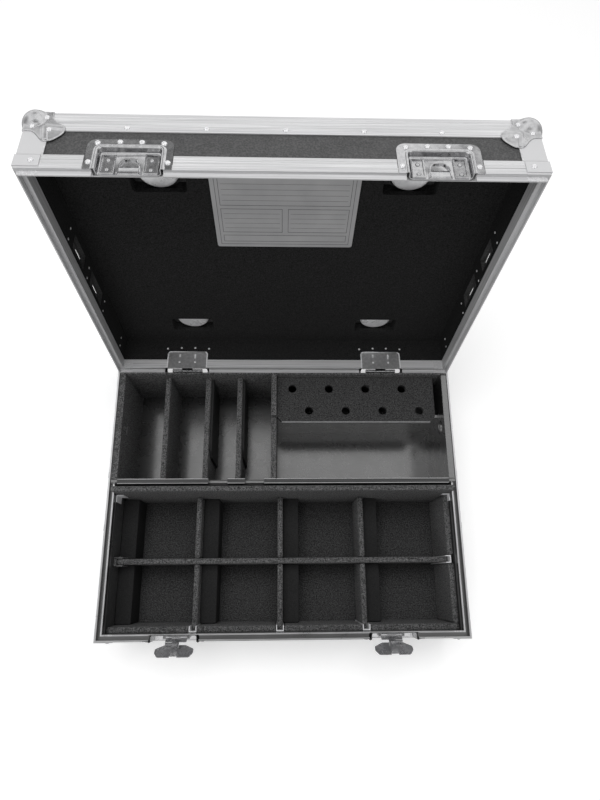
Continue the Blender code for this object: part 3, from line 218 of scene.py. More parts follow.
def relief(material, value, height):
    """A pattern as bumps of a real height in metres, over those that the material has."""
    tree = material.node_tree
    normal = tree.nodes["shader"].inputs["Normal"]
    inputs = {"Height": pattern(material, value), "Distance": height, "Strength": 1.0}
    if normal.is_linked:
        inputs["Normal"] = normal.links[0].from_socket
    tree.links.new(joined(tree, "Bump", inputs).outputs[0], normal)


def dress(material, *names):
    """Gives CAD nodes a material in every slot."""
    for name in names:
        mesh = frame["nodes"][name].data
        if not mesh.materials:
            mesh.materials.append(material)
        for number in range(len(mesh.materials)):
            mesh.materials[number] = material


def within(tree, value, middle, reach):
    """1 where a value is nearer to a middle than a reach, else 0."""
    off = maths(tree, "ABSOLUTE", maths(tree, "SUBTRACT", value, middle))
    return maths(tree, "LESS_THAN", off, reach)


front_run_half, end_run_half = 0.295, 0.243
grey_low, grey_high = 0.40, 0.66


def drawn_aluminium(name, turn, middle, share, smoothest, roughest):
    metal = surface(name, grey_high, roughest, share)
    tree = metal.node_tree
    uneven(metal, (34, 4), smoothest, roughest)
    # the die's lines run along X in front and behind, and along Y at the two ends; the braces and
    # uprights at the corners are plain sheet
    place = joined(tree, "SeparateXYZ", {0: spots(metal, turn=turn)})
    along = within(tree, place.outputs[0], 0.0, front_run_half)
    inner = within(tree, place.outputs[1], middle, end_run_half)
    long_lines = grain(metal, 1, 2, 0.6, spots(metal, (5, 700, 700), turn))
    end_lines = grain(metal, 1, 2, 0.6, spots(metal, (700, 5, 700), turn))
    corner_lines = joined(tree, "Mix", {0: inner, 2: 0.5, 3: end_lines}).outputs[0]
    lines = joined(tree, "Mix", {0: along, 2: corner_lines, 3: long_lines}).outputs[0]
    relief(metal, lines, 0.00001)
    tint(metal, lines, grey_low, grey_high)
    return metal


joints = {joint["name"]: joint for joint in frame["joints"]}
hinge_place = Vector(joints["lid_hinge"]["pos_m"])
open_angle = math.radians(joints["lid_hinge"]["range_deg"][1])
middle_y = -0.0765
# the opened lid's own Y, about the origin, is off by what the hinge axis moves through
lid_middle_y = middle_y - (hinge_place - Matrix.Rotation(open_angle, 3, "X") @ hinge_place).y
base_aluminium = drawn_aluminium("drawn_aluminium", (0, 0, 0), middle_y, 0.92, 0.26, 0.36)
# painted shade: the bottom of the groove that runs round the base's rim is painted darker, for the shade in
# the recess
groove_level, groove_half, groove_x, groove_y, groove_shade_grey = 0.1740, 0.0045, 0.3226, 0.2436, 0.19
tree = base_aluminium.node_tree
place = joined(tree, "SeparateXYZ", {0: joined(tree, "TexCoord").outputs["Object"]})
in_groove = within(tree, place.outputs[2], groove_level, groove_half)
for value, middle, reach in ((place.outputs[0], 0.0, groove_x), (place.outputs[1], middle_y, groove_y)):
    in_groove = maths(tree, "MULTIPLY", in_groove, within(tree, value, middle, reach))
unshaded_colour = tree.nodes["shader"].inputs["Base Color"].links[0].from_socket
groove_shade = (groove_shade_grey, groove_shade_grey, groove_shade_grey, 1)
groove_shaded = joined(tree, "Mix", {0: in_groove, 6: unshaded_colour, 7: groove_shade}, data_type="RGBA")
tree.links.new(groove_shaded.outputs[2], tree.nodes["shader"].inputs["Base Color"])
# the lid's runs are anodised a little duller, and their lines lie along the opened lid
lid_aluminium = drawn_aluminium("drawn_aluminium_of_lid", (open_angle, 0, 0), lid_middle_y, 0.22, 0.42, 0.54)
dress(base_aluminium, "base_rim", "base_edges")
dress(lid_aluminium, "lid_rim", "lid_edges")
# the small channels inside are mill finished, so they stay pale whatever stands over them
mill_aluminium = surface("mill_aluminium", 0.84, 0.40, 0.12)
uneven(mill_aluminium, (90, 3), 0.34, 0.48)
tint(mill_aluminium, (240, 3), 0.76, 0.92)
dress(mill_aluminium, "cross_divider_channel",
      *[name for name in frame["nodes"] if name.startswith("divider_post")])


# Panels: 9 mm birch plywood faced with a dark grey laminate, pressed with a fine pebble texture. Their
# edges are glued into the double-angle edging and riveted through it.
laminate = surface("pebbled_laminate", 0.055, 0.55, Specular_IOR_Level=0.4)
pebbles = joined(laminate.node_tree, "TexVoronoi", {"Vector": spots(laminate), "Scale": 480.0},
                 feature="SMOOTH_F1").outputs["Distance"]
relief(laminate, pebbles, 0.0003)
tint(laminate, pebbles, 0.026, 0.072, 0.1, 0.7)
uneven(laminate, (40, 3), 0.45, 0.65)
dress(laminate, "base_carcass", "lid_carcass")


# Rivets: bright heads of about 7.5 mm with a small dimple, drawn over each of the frame's plainer ones.
# Every run of edging, corner brace, dish and handle plate is held by them.
rim_low, rim_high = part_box("base_rim")
case_middle = (rim_low.y + rim_high.y) / 2
rim_level = rim_high.z
stand_level = 0.024
case_half = Vector((0.325, 0.246))
shut_gap = 0.0004
lid_height = 0.097
lid_level = rim_level + shut_gap
lid_top = lid_level + lid_height
wall_turns = {"front": 0, "right": 1, "rear": 2, "left": 3}
corner_names = ("front_left", "front_right", "rear_right", "rear_left")
rivet_profile = ((0.0, 0.00125), (0.0007, 0.00135), (0.0012, 0.00205), (0.0022, 0.00190), (0.0031, 0.00130),
                 (0.0037, 0.00050), (0.0038, -0.0004))
rivet_steps = 20


def at(x, y, z):
    return Matrix.Translation((x, y, z))


def upright(level):
    return at(0, 0, level)


def inverted(level):
    """Level 0 at a height, with levels counted downwards from it."""
    return upright(level) @ Matrix.Diagonal((1, 1, -1, 1))


def wall(side):
    """Wall coordinates: x along the wall as seen from outside, y in from its face, z up."""
    turns = wall_turns[side]
    reach = case_half.y if turns % 2 == 0 else case_half.x
    return Matrix.Rotation(turns * math.pi / 2, 4, "Z") @ at(0, -reach, 0)


def corner(number):
    """Corner coordinates: x and y in from the two faces that meet there, z up."""
    across = 1 if number in (0, 3) else -1
    along = 1 if number in (0, 1) else -1
    return at(-across * case_half.x, -along * case_half.y, 0) @ Matrix.Diagonal((across, along, 1, 1))


def lathe(profile, steps):
    """A closed profile of radius and height, turned about z into points and faces."""
    points, faces = [], []
    for radius, height in profile:
        for step in range(steps):
            angle = 2 * math.pi * step / steps
            points.append((radius * math.cos(angle), radius * math.sin(angle), height))
    for start in range(0, (len(profile) - 1) * steps, steps):
        for step in range(steps):
            far = (step + 1) % steps
            faces.append((start + step, start + far, start + steps + far, start + steps + step))
    return points, faces


def moved(shape, *places):
    """A copy of a shape's points and faces at each of some places."""
    points, faces = shape
    return [([place @ Vector(point) for point in points], faces) for place in places]


def settled(bm):
    """A mesh from a bmesh, its faces turned outwards."""
    bmesh.ops.recalc_face_normals(bm, faces=bm.faces)
    mesh = bpy.data.meshes.new("shape")
    bm.to_mesh(mesh)
    bm.free()
    return mesh


def gathered(shapes):
    """One mesh from several sets of points and faces."""
    bm = bmesh.new()
    for points, faces in shapes:
        verts = [bm.verts.new(point) for point in points]
        for face in faces:
            bm.faces.new([verts[number] for number in face])
    bmesh.ops.remove_doubles(bm, verts=bm.verts, dist=1e-6)
    bmesh.ops.dissolve_degenerate(bm, dist=1e-7, edges=bm.edges)
    return settled(bm)


centred = at(0, case_middle, 0)
lid_opened = at(*hinge_place) @ Matrix.Rotation(-open_angle, 4, "X") @ at(*-hinge_place) @ centred
homes = {"base": centred, "tray": centred, "lid": lid_opened}


def tooled(item, name, kind, **settings):
    given(item.modifiers.new(name, kind), settings)


def piece(name, form, finish, body, stands_for=None, place=None, soft=0.0, sharp=38):
    """A finished object, of shapes or of a ready mesh: set in place on its body, its edges softened."""
    mesh = gathered(form) if isinstance(form, list) else form.copy()
    mesh.name = name
    place = homes[body] if place is None else place
    mesh.transform(place)
    if place.determinant() < 0:
        mesh.flip_normals()
    mesh.materials.clear()
    mesh.materials.append(finish)
    item = new_object(name, mesh)
    mesh.shade_smooth()
    if soft:
        # a broader edge gets more facets
        tooled(item, "soft_edges", "BEVEL", width=soft, segments=2 + (soft > 0.001) + (soft > 0.002),
               limit_method="ANGLE", angle_limit=math.radians(sharp), harden_normals=True)
    else:
        mesh.set_sharp_from_angle(angle=math.radians(sharp))
    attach(item, body)
    if stands_for:
        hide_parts(stands_for)
    return item


zinc = surface("bright_zinc", 0.55, 0.20, 1.0)
uneven(zinc, (40, 3), 0.16, 0.24)
relief(zinc, (50, 2), 0.00005)
tint(zinc, (160, 3), 0.46, 0.58)
rivet_steel = surface("polished_rivet_steel", 0.80, 0.22, 0.75)
uneven(rivet_steel, (200, 3), 0.18, 0.28)
tint(rivet_steel, (300, 3), 0.70, 0.86)
rivet_head = lathe(rivet_profile, rivet_steps)
out_of_wall = Matrix.Rotation(math.pi / 2, 4, "X")
out_of_side = Matrix.Rotation(-math.pi / 2, 4, "Y")
down = Matrix.Rotation(math.pi, 4, "X")
edge_rivet_level = 0.0256
brace_sheet = 0.0012
brace_rivet_along, brace_rivet_up = 0.020, 0.012


def edge_heads():
    """Places of the heads along one ring of double-angle edging, about its own level."""
    for side in wall_turns:
        along = (-0.198, -0.099, 0, 0.099, 0.198) if side in ("front", "rear") else (-0.099, 0, 0.099)
        yield from (wall(side) @ at(x, 0, edge_rivet_level) @ out_of_wall for x in along)
        yield from (wall(side) @ at(x, edge_rivet_level, 0) @ down for x in along)


def brace_heads(direction):
    """Places of the two heads on each of the four corner braces of a rim."""
    for number in range(4):
        for place in (at(brace_rivet_along, -brace_sheet, brace_rivet_up) @ out_of_wall,
                      at(-brace_sheet, brace_rivet_along, brace_rivet_up) @ out_of_side):
            yield corner(number) @ Matrix.Diagonal((1, 1, direction, 1)) @ place


for body, edging, brace_level, direction in (("base", upright(stand_level), rim_level, -1),
                                             ("lid", inverted(lid_top), lid_level, 1)):
    heads = [edging @ place for place in edge_heads()]
    heads += [upright(brace_level) @ place for place in brace_heads(direction)]
    piece(f"{body}_rivets", moved(rivet_head, *heads), rivet_steel, body)


# Ball corners: pressed steel, a ball on the point of the case and a lobed plate on each of three faces,
# with a raised rib between the lobes. Three rivets hold each plate.
corner_outline = ((0.034, 0.0), (0.0335, 0.0085), (0.036, 0.0125), (0.041, 0.0175), (0.0485, 0.0225),
                  (0.0520, 0.0270), (0.0525, 0.0325), (0.0505, 0.0380), (0.0475, 0.0420))
corner_clip = 0.013
corner_stand, corner_root = 0.0015, 0.0002
ball_radius, ball_depth = 0.0198, 0.0113
corner_rivets = ((0.026, 0.0105), (0.0105, 0.026), (0.0325, 0.0325))
rib_path = ((0.0505, 0.0300), (0.0270, 0.0262), (0.0262, 0.0270), (0.0300, 0.0505))
rib_half, rib_rise, rib_steps = 0.0034, 0.0013, 12
corner_voxel, corner_back = 0.0008, 0.0004


def worked(item):
    """The mesh of raw stock after its modifiers; the stock itself is cleared away."""
    bpy.context.view_layer.update()
    mesh = bpy.data.meshes.new_from_object(item.evaluated_get(bpy.context.evaluated_depsgraph_get()))
    bpy.data.objects.remove(item, do_unlink=True)
    return mesh


def rounded_path(points, repeats=2):
    """Cuts the corners of an open path, which keeps its ends."""
    points = [Vector(point) for point in points]
    for repeat in range(repeats):
        cut = [points[0]]
        for near, far in zip(points, points[1:]):
            cut += [near.lerp(far, 0.25), near.lerp(far, 0.75)]
        points = cut + [points[-1]]
    return points


def corner_plate(bm, face_matrix):
    """One lobed plate with its rib, on the plane z = 0 of a face."""
    lobe = rounded_path(corner_outline)
    # the plate's own corner is left off under the ball
    outline = [Vector((corner_clip, -corner_stand)), Vector((lobe[0].x, -corner_stand)), *lobe]
    outline += [Vector((point.y, point.x)) for point in reversed(outline)]
    low, high = ([bm.verts.new(face_matrix @ Vector((*point, level))) for point in outline]
                 for level in (corner_root, -corner_stand))
    bm.faces.new(low)
    bm.faces.new(list(reversed(high)))
    for number in range(len(outline)):
        bm.faces.new((low[number - 1], high[number - 1], high[number], low[number]))
    path = rounded_path(rib_path)
    rings = []
    for number, point in enumerate(path):
        ahead = path[min(number + 1, len(path) - 1)] - path[max(number - 1, 0)]
        side = Vector((-ahead.y, ahead.x)).normalized()
        ring = []
        for step in range(rib_steps):
            angle = 2 * math.pi * step / rib_steps
            across = side * rib_half * math.copysign(abs(math.cos(angle)) ** 0.5, math.cos(angle))
            height = -corner_stand - rib_rise * math.copysign(abs(math.sin(angle)) ** 0.6, math.sin(angle))
            ring.append(bm.verts.new(face_matrix @ Vector((point.x + across.x, point.y + across.y, height))))
        rings.append(ring)
    for near, far in zip(rings, rings[1:]):
        for step in range(rib_steps):
            bm.faces.new((near[step - 1], near[step], far[step], far[step - 1]))
    bm.faces.new(rings[0])
    bm.faces.new(list(reversed(rings[-1])))


def pressed_corner():
    bm = bmesh.new()
    for face_matrix in (Matrix(), Matrix(((1, 0, 0, 0), (0, 0, 1, 0), (0, 1, 0, 0), (0, 0, 0, 1))),
                        Matrix(((0, 0, 1, 0), (0, 1, 0, 0), (1, 0, 0, 0), (0, 0, 0, 1)))):
        corner_plate(bm, face_matrix)
    middle = at(ball_depth, ball_depth, ball_depth)
    bmesh.ops.create_uvsphere(bm, u_segments=48, v_segments=24, radius=ball_radius, matrix=middle)
    stock = new_object("stock", settled(bm))
    tooled(stock, "pressed", "REMESH", mode="VOXEL", voxel_size=corner_voxel)
    tooled(stock, "eased", "SMOOTH", factor=0.5, iterations=8)
    tooled(stock, "fewer", "DECIMATE", ratio=0.40)
    mesh = worked(stock)
    bm = bmesh.new()
    bm.from_mesh(mesh)
    # the back, which lies inside the case's own corner, is cut away
    hidden = [face for face in bm.faces if min(face.calc_center_median()) > corner_back]
    bmesh.ops.delete(bm, geom=hidden, context="FACES")
    bm.to_mesh(mesh)
    bm.free()
    return mesh


def corner_heads():
    for a, b in corner_rivets:
        yield at(a, -corner_stand, b) @ out_of_wall
        yield at(-corner_stand, a, b) @ out_of_side
        yield at(a, b, -corner_stand) @ down


corner_zinc = surface("pressed_corner_zinc", 0.60, 0.36, 0.9)
uneven(corner_zinc, (40, 3), 0.24, 0.34)
tint(corner_zinc, (160, 3), 0.44, 0.58)
corner_mesh, corner_rivet_heads = pressed_corner(), moved(rivet_head, *corner_heads())
for number, name in enumerate(corner_names):
    for half, stand in (("base", centred @ upright(stand_level)), ("lid", lid_opened @ inverted(lid_top))):
        place = stand @ corner(number)
        piece(f"{half}_pressed_corner_{name}", corner_mesh, corner_zinc, half, f"{half}_ball_corner_{name}",
              place, sharp=80)
        piece(f"{half}_corner_rivets_{name}", corner_rivet_heads, rivet_steel, half, place=place)


# Dishes: pans pressed from 1 mm steel with a rolled lip, let into the front for the latches and into
# the rear for the hinges. Six rivets hold each flange; leaves, pins and keepers sit on the floors.
dish_places = (-0.190, 0.190)
base_dish_depth, lid_dish_depth = 0.0095, 0.0082
dish_rivets = ((0.0133, 0.0463), (-0.0133, 0.0463), (0.0405, 0.0445), (-0.0405, 0.0445), (0.0475, 0.0115),
               (-0.0475, 0.0115))
dish_arc, dish_sheet, flange_depth, tail_half, lid_tail = 7, 0.0010, 0.0002, 0.0350, 0.0012
# fittings are sunk this far into the floor that carries them
seat = 0.0003


def pan_ring(half, height, radius, depth, foot=0.0):
    """Up one side of a pan, round its two far corners and down the other side."""
    points = [(-half, depth, foot)]
    for centre_x, start in ((-half + radius, math.pi), (half - radius, math.pi / 2)):
        for step in range(dish_arc + 1):
            angle = start - step * math.pi / 2 / dish_arc
            x = centre_x + radius * math.cos(angle)
            points.append((x, depth, height - radius + radius * math.sin(angle)))
    return points + [(half, depth, foot)]


def pan_stages(depth):
    """Half width, height, corner radius and depth of each line of the press tool, from rim to floor."""
    return ((0.0530, 0.0515, 0.0120, flange_depth), (0.0446, 0.0426, 0.0097, flange_depth),
            (0.0441, 0.0421, 0.0094, -0.0003), (0.0430, 0.0410, 0.0088, -0.0012),
            (0.0415, 0.0395, 0.0080, -0.0016), (0.0400, 0.0380, 0.0072, -0.0012),
            (0.0391, 0.0371, 0.0066, -0.0003), (0.0388, 0.0368, 0.0063, 0.0010),
            (0.0384, 0.0364, 0.0060, depth - 0.0022), (0.0378, 0.0359, 0.0056, depth - 0.0008),
            (0.0366, 0.0348, 0.0048, depth))


def lofted(rings, tail=()):
    """Open rings, each joined to the next, with a floor of the last ring and a tail's points."""
    bm = bmesh.new()
    rings = [[bm.verts.new(point) for point in ring] for ring in rings]
    for near, far in zip(rings, rings[1:]):
        for number in range(len(near) - 1):
            bm.faces.new((near[number], near[number + 1], far[number + 1], far[number]))
    bm.faces.new(rings[-1] + [bm.verts.new(point) for point in tail])
    return settled(bm)


def pressed_pan(depth, tail=()):
    stock = new_object("stock", lofted([pan_ring(*stage) for stage in pan_stages(depth)], tail))
    outward = sum((polygon.normal * polygon.area for polygon in stock.data.polygons), Vector()).y < 0
    tooled(stock, "sheet", "SOLIDIFY", thickness=dish_sheet, offset=-1 if outward else 1)
    return worked(stock)


def turned_bar(radius, start, end, steps=24, edge=0.0004):
    """A round bar along X with its ends broken."""
    profile = ((0.0, start), (radius - edge, start), (radius, start + edge), (radius, end - edge),
               (radius - edge, end), (0.0, end))
    points, faces = lathe(profile, steps)
    return [(z, x, y) for x, y, z in points], faces


def slab(low, high):
    points = [(x, y, z) for x in (low[0], high[0]) for y in (low[1], high[1]) for z in (low[2], high[2])]
    return points, [(0, 1, 3, 2), (4, 6, 7, 5), (0, 4, 5, 1), (2, 3, 7, 6), (0, 2, 6, 4), (1, 5, 7, 3)]


def plate(outline, near, far, axes="xy"):
    """An outline in x and y with its thickness along z, or in x and z along y, or in y and z along x."""
    places = [(a, b, level) for level in (near, far) for a, b in outline]
    points = [{"xy": (a, b, c), "xz": (a, c, b), "yz": (c, a, b)}[axes] for a, b, c in places]
    count = len(outline)
    faces = [tuple(range(count)), tuple(reversed(range(count, 2 * count)))]
    faces += [(number, (number + 1) % count, count + (number + 1) % count, count + number)
              for number in range(count)]
    return points, faces


def band(outer, inner, near, far):
    """A raised strip on a wall between two paths, as a row of short plates."""
    return [plate([outer[number], outer[number + 1], inner[number + 1], inner[number]], near, far, "xz")
            for number in range(len(outer) - 1)]


pin_level, pin_depth, pin_radius = 0.031, 0.0050, 0.0015
lug_reach, lug_width, lug_half = 0.0234, 0.0046, 0.0030
latch_seat = moved(turned_bar(pin_radius, -lug_reach, lug_reach), at(0, pin_depth, pin_level))
latch_seat += [slab((near, pin_depth - lug_half, pin_level - lug_half),
                    (near + lug_width, base_dish_depth + seat, pin_level + lug_half))
               for near in (-lug_reach, lug_reach - lug_width)]
hood_front, hood_low = 0.0057, -0.0010
keeper_root = lid_dish_depth + seat


def hood_shape():
    """The keeper's raised hood: an upright nose below, and a sloping back that narrows to an arch."""
    near = [(-0.0120, hood_low), (0.0120, hood_low), (0.0118, 0.0080), (-0.0118, 0.0080)]
    far = [(-0.0145, hood_low), (0.0145, hood_low), (0.0135, 0.0140), (-0.0135, 0.0140)]
    points = [(x, hood_front, z) for x, z in near] + [(x, keeper_root, z) for x, z in far]
    return points, [(0, 1, 2, 3), (7, 6, 5, 4), (0, 4, 5, 1), (1, 5, 6, 2), (2, 6, 7, 3), (3, 7, 4, 0)]


def frame_bars(low, high, width, near, far):
    """Four bars round a rectangle in wall coordinates."""
    (x, z), (far_x, far_z) = low, high
    for a, b in (((x, z), (far_x, z + width)), ((x, far_z - width), (far_x, far_z)),
                 ((x, z + width), (x + width, far_z - width)),
                 ((far_x - width, z + width), (far_x, far_z - width))):
        yield slab((a[0], near, a[1]), (b[0], far, b[1]))


arch = [(-0.0150, 0.0005), (-0.0125, 0.0165), (-0.0090, 0.0228), (-0.0050, 0.0246), (0.0050, 0.0246),
        (0.0090, 0.0228), (0.0125, 0.0165), (0.0150, 0.0005)]
arch_inner = [(x * 0.87, z * 0.94) for x, z in arch]
arch_front = 0.0056
ear_near, ear_far, ear_high, ear_front = 0.0180, 0.0350, 0.0330, 0.0074
ear_rivet_x, ear_rivet_levels = 0.0265, (0.0060, 0.0225)
ear_edge, ear_edge_front, ear_edge_rear = 0.0022, 0.0059, 0.0078
small_head = lathe([(radius * 0.80, height) for radius, height in rivet_profile], 16)
latch_keeper = [hood_shape()] + band(arch, arch_inner, arch_front, keeper_root)
for side in (-1, 1):
    low_x, high_x = sorted((side * ear_near, side * ear_far))
    latch_keeper.append(slab((low_x, ear_front, 0.0), (high_x, keeper_root, ear_high)))
    latch_keeper += frame_bars((low_x, 0.0), (high_x, ear_high), ear_edge, ear_edge_front, ear_edge_rear)
    latch_keeper += moved(small_head, *(at(side * ear_rivet_x, ear_front, level) @ out_of_wall
                                        for level in ear_rivet_levels))
leaf_front, leaf_rear, leaf_half = 0.0078, 0.0098, 0.029
leaf_rivets, leaf_rivet_level = (-0.020, 0.0, 0.020), 0.0215
leaf = [(-leaf_half, 0.0078), (leaf_half, 0.0078), (leaf_half, 0.0290), (0.026, 0.0320), (-0.026, 0.0320),
        (-leaf_half, 0.0290)]
knuckle_radius, knuckle_half, knuckle_gap = 0.0045, 0.0100, 0.0005
arm = [(0.0, 0.0), (0.0043, 0.0010), (0.0098, 0.0060), (0.0098, 0.0080), (0.0078, 0.0080), (0.0, 0.0045)]


def leaf_shapes(*spans):
    shapes = [plate(leaf, leaf_front, leaf_rear, "xz")]
    for start, end in spans:
        shapes += [turned_bar(knuckle_radius, start, end), plate(arm, start, end, "yz")]
    heads = (at(x, leaf_front, leaf_rivet_level) @ out_of_wall for x in leaf_rivets)
    return shapes + moved(rivet_head, *heads)


base_leaf = leaf_shapes((-leaf_half, -knuckle_half - knuckle_gap), (knuckle_half + knuckle_gap, leaf_half))
lid_leaf = leaf_shapes((-knuckle_half, knuckle_half))
dish_heads = moved(rivet_head, *(at(x, flange_depth, z) @ out_of_wall for x, z in dish_rivets))
# painted shade: the base's hinge pans get a darker grey zinc, which stands in for the shade in their recess
# at the rear
shade_darkened_zinc = surface("shade_darkened_zinc", 0.24, 0.45, 0.9)
tint(shade_darkened_zinc, (120, 3), 0.18, 0.30)
base_pan = pressed_pan(base_dish_depth)
lid_pan = pressed_pan(lid_dish_depth, [(x, lid_dish_depth, -lid_tail) for x in (tail_half, -tail_half)])
# the latch's keeper sits on the lid's own rim, and the hinge's lid leaf turns on the base's axis
latches = ("front", "latch", "latch_dish", ("left", "right"), (latch_seat, latch_keeper), (base_pan, lid_pan),
           zinc, lid_level, 0)
hinges = ("rear", "hinge", "hinge", ("right", "left"), (base_leaf, lid_leaf), (base_pan, base_pan),
          shade_darkened_zinc, rim_level, shut_gap)
for wall_side, kind, node, names, fittings, pans, base_metal, lid_stand, lid_lift in (latches, hinges):
    for across, name in zip(dish_places, names):
        spot = wall(wall_side) @ at(across, 0, 0)
        halves = (("base", centred @ spot @ inverted(rim_level), 0, base_metal),
                  ("lid", lid_opened @ spot @ upright(lid_stand), lid_lift, zinc))
        for (half, place, lift, metal), fitting, pan in zip(halves, fittings, pans):
            lifted = place @ upright(lift)
            piece(f"{half}_{kind}_pan_{name}", pan, metal, half, f"{half}_{node}_{name}", lifted)
            piece(f"{half}_{kind}_pan_rivets_{name}", dish_heads, rivet_steel, half, place=lifted)
            piece(f"{half}_{kind}_fitting_{name}", fitting, zinc, half, place=place, soft=0.0003)


# The lid's lining: a 20 mm sheet of near-black closed-cell foam, glued under the top. Four windows are
# cut through it where the stacking cups come down, with pockets for the rest of each cup.
def hollowed(shape, tools):
    """The mesh of a solid shape with the shapes of the tools cut out of it."""
    stock, *cutters = (new_object("stock", gathered([form])) for form in (shape, *tools))
    for cutter in cutters:
        tooled(stock, "cut", "BOOLEAN", operation="DIFFERENCE", solver="EXACT", object=cutter)
    mesh = worked(stock)
    for cutter in cutters:
        bpy.data.objects.remove(cutter, do_unlink=True)
    return mesh


def drill(radius, low, high):
    return lathe(((0, low), (radius, low), (radius, high), (0, high)), 40)


def round_corners(low, high, radius, steps=4):
    """A rectangle's outline with round corners, counterclockwise."""
    points = []
    for x, y, start in ((high[0] - radius, low[1] + radius, -90), (high[0] - radius, high[1] - radius, 0),
                        (low[0] + radius, high[1] - radius, 90), (low[0] + radius, low[1] + radius, 180)):
        for step in range(steps + 1):
            angle = math.radians(start + 90 * step / steps)
            points.append((x + radius * math.cos(angle), y + radius * math.sin(angle)))
    return points


foam = surface("closed_cell_foam", 0.011, 0.9, Specular_IOR_Level=0.12)
tint(foam, (480, 4, 0.8), 0.006, 0.034, 0.36, 0.70)
relief(foam, (900, 3, 0.7), 0.0005)
relief(foam, (14, 2), 0.0016)
sheet_half = Vector((0.3138, 0.2348))
sheet_low, sheet_top, overrun = 0.2474, 0.2674, 0.004
window_half, window_ahead, window_behind, window_radius = 0.0385, 0.012, 0.027, 0.006
cup_places = ((-0.175, -0.175), (0.175, -0.175), (0.175, 0.175), (-0.175, 0.175))
pocket_radius, pocket_low, pocket_top = 0.0365, 0.2549, 0.2694
windows = [plate(round_corners((x - window_half, y - window_ahead), (x + window_half, y + window_behind),
                               window_radius), sheet_low - overrun, sheet_top + overrun)
           for x, y in cup_places]
pockets = moved(drill(pocket_radius, pocket_low, pocket_top), *(at(x, y, 0) for x, y in cup_places))
foam_block = slab((-sheet_half.x, -sheet_half.y, sheet_low), (*sheet_half, sheet_top))
foam_sheet = hollowed(foam_block, windows + pockets)
lining = piece("lid_foam_sheet", foam_sheet, foam, "lid", "lid_lining", soft=0.0016)


# The lid's walls are lined inside with thin black sheet, from the rim's inner leg up to the foam.
# It is cut away round the end fittings, two on each end wall.
inner_face = 0.0107
lining_low, lining_high, lining_sheet, glue = lid_level + 0.0187, lid_level + 0.0675, 0.0003, 0.0001
end_fittings = ((-0.0750, -0.0250), (0.0080, 0.0700))
fitting_low, fitting_high = lid_level + 0.029, lid_level + 0.054
inside = case_half - Vector((inner_face, inner_face))
wall_sheets = []
for side in (-1, 1):
    near, far = sorted((side * (inside.y - lining_sheet), side * (inside.y - glue)))
    wall_sheets.append(slab((-inside.x + glue, near, lining_low), (inside.x - glue, far, lining_high)))
    near, far = sorted((side * (inside.x - lining_sheet), side * (inside.x - glue)))
    stops = [-inside.y] + [y for pair in end_fittings for y in pair] + [inside.y]
    wall_sheets += [slab((near, -inside.y, low), (far, inside.y, high))
                    for low, high in ((lining_low, fitting_low), (fitting_high, lining_high))]
    wall_sheets += [slab((near, low, fitting_low), (far, high, fitting_high))
                    for low, high in zip(stops[::2], stops[1::2])]
wall_black = surface("black_wall_sheet", 0.014, 0.85, Specular_IOR_Level=0.12)
tint(wall_black, (420, 3), 0.008, 0.022)
piece("lid_wall_lining", wall_sheets, wall_black, "lid")


# Stacking cups: pressed from bright steel and let into the lid's top, where the feet of a case above
# stand in them. From inside, their rounded bottoms show through the lining's windows.
cup_metal = surface("pressed_cup_steel", 0.88, 0.28, 0.30)
uneven(cup_metal, (70, 3), 0.24, 0.34)
tint(cup_metal, (160, 3), 0.82, 0.94)
cup_top, cup_bottom, cup_sheet = lid_top - 0.0003, lid_top - 0.0220, 0.0011
# radius and height above the bottom, up the outside; then radius and depth below the top, over the rim
cup_outside = ((0.0, 0.0), (0.0245, 0.0), (0.0266, 0.0004), (0.0282, 0.0014), (0.0291, 0.0030))
cup_rim = ((0.0342, 0.0034), (0.0350, 0.0018), (0.0362, cup_sheet), (0.0385, cup_sheet), (0.0385, 0.0),
           (0.0360, 0.0), (0.0342, 0.0008), (0.0331, 0.0028))
cup_inside = ((0.0281, 0.0032), (0.0273, 0.0020), (0.0261, 0.0013), (0.0244, cup_sheet), (0.0, cup_sheet))
pressed_cup = lathe([(radius, cup_bottom + height) for radius, height in cup_outside]
                    + [(radius, cup_top - depth) for radius, depth in cup_rim]
                    + [(radius, cup_bottom + height) for radius, height in cup_inside], 64)
for (x, y), name in zip(cup_places, corner_names):
    piece(f"pressed_cup_{name}", moved(pressed_cup, at(x, y, 0)), cup_metal, "lid", f"stacking_cup_{name}",
          sharp=50)


# Seen inside the lid: the backs of the two hinge dishes, which come through the rear wall, each with a
# painted highlight round its edge, and the swaged ends of the rivets that hold dishes, corners and end
# fittings.
# the backs stand just proud of the rim's inner leg, clear of the tray behind a closed lid
back_front, back_foot, bead_half, mark_root, mark_rise = 0.0127, 0.0005, 0.0016, 0.0002, 0.0003
back_stages = ((0.0390, 0.0374, 0.0066, inner_face - 0.0015), (0.0387, 0.0371, 0.0066, back_front - 0.0006),
               (0.0382, 0.0366, 0.0064, back_front - 0.0001), (0.0374, 0.0358, 0.0060, back_front))
rivet_end = lathe(((0.0, 0.0011), (0.0009, 0.0010), (0.0018, 0.0006), (0.0022, -0.0004)), 14)
side_ends = [(v, w) for v in (0.3395, 0.2505, 0.161) for w in (0.0285, 0.0485)]
side_ends += [(0.046, 0.047), (0.046, 0.030)]


def back_ring(*stage):
    """A line of a pan's back, kept above the edge of the lid."""
    return [(x, depth, max(z, 0.0)) for x, depth, z in pan_ring(*stage, back_foot)]


pressed_back = surface("unpolished_back", 0.50, 0.40, 0.7)
uneven(pressed_back, (60, 3), 0.34, 0.46)
tint(pressed_back, (200, 3), 0.42, 0.56)
swaged_and_highlight = surface("swaged_ends_and_highlight_band", 0.80, 0.35, 0.25)
tint(swaged_and_highlight, (300, 3), 0.70, 0.86)
pan_back = lofted([back_ring(*stage) for stage in back_stages])
flat_end = Matrix.Diagonal((1, 1, 0.3, 1))
into_lid = Matrix.Rotation(-math.pi / 2, 4, "X")
marks = moved(rivet_end, *(at(x, back_front, 0.0130) @ into_lid @ flat_end for x in (-0.015, 0.015)))
marks += moved(rivet_end, *(at(x, inner_face, z) @ into_lid for x, z in dish_rivets))
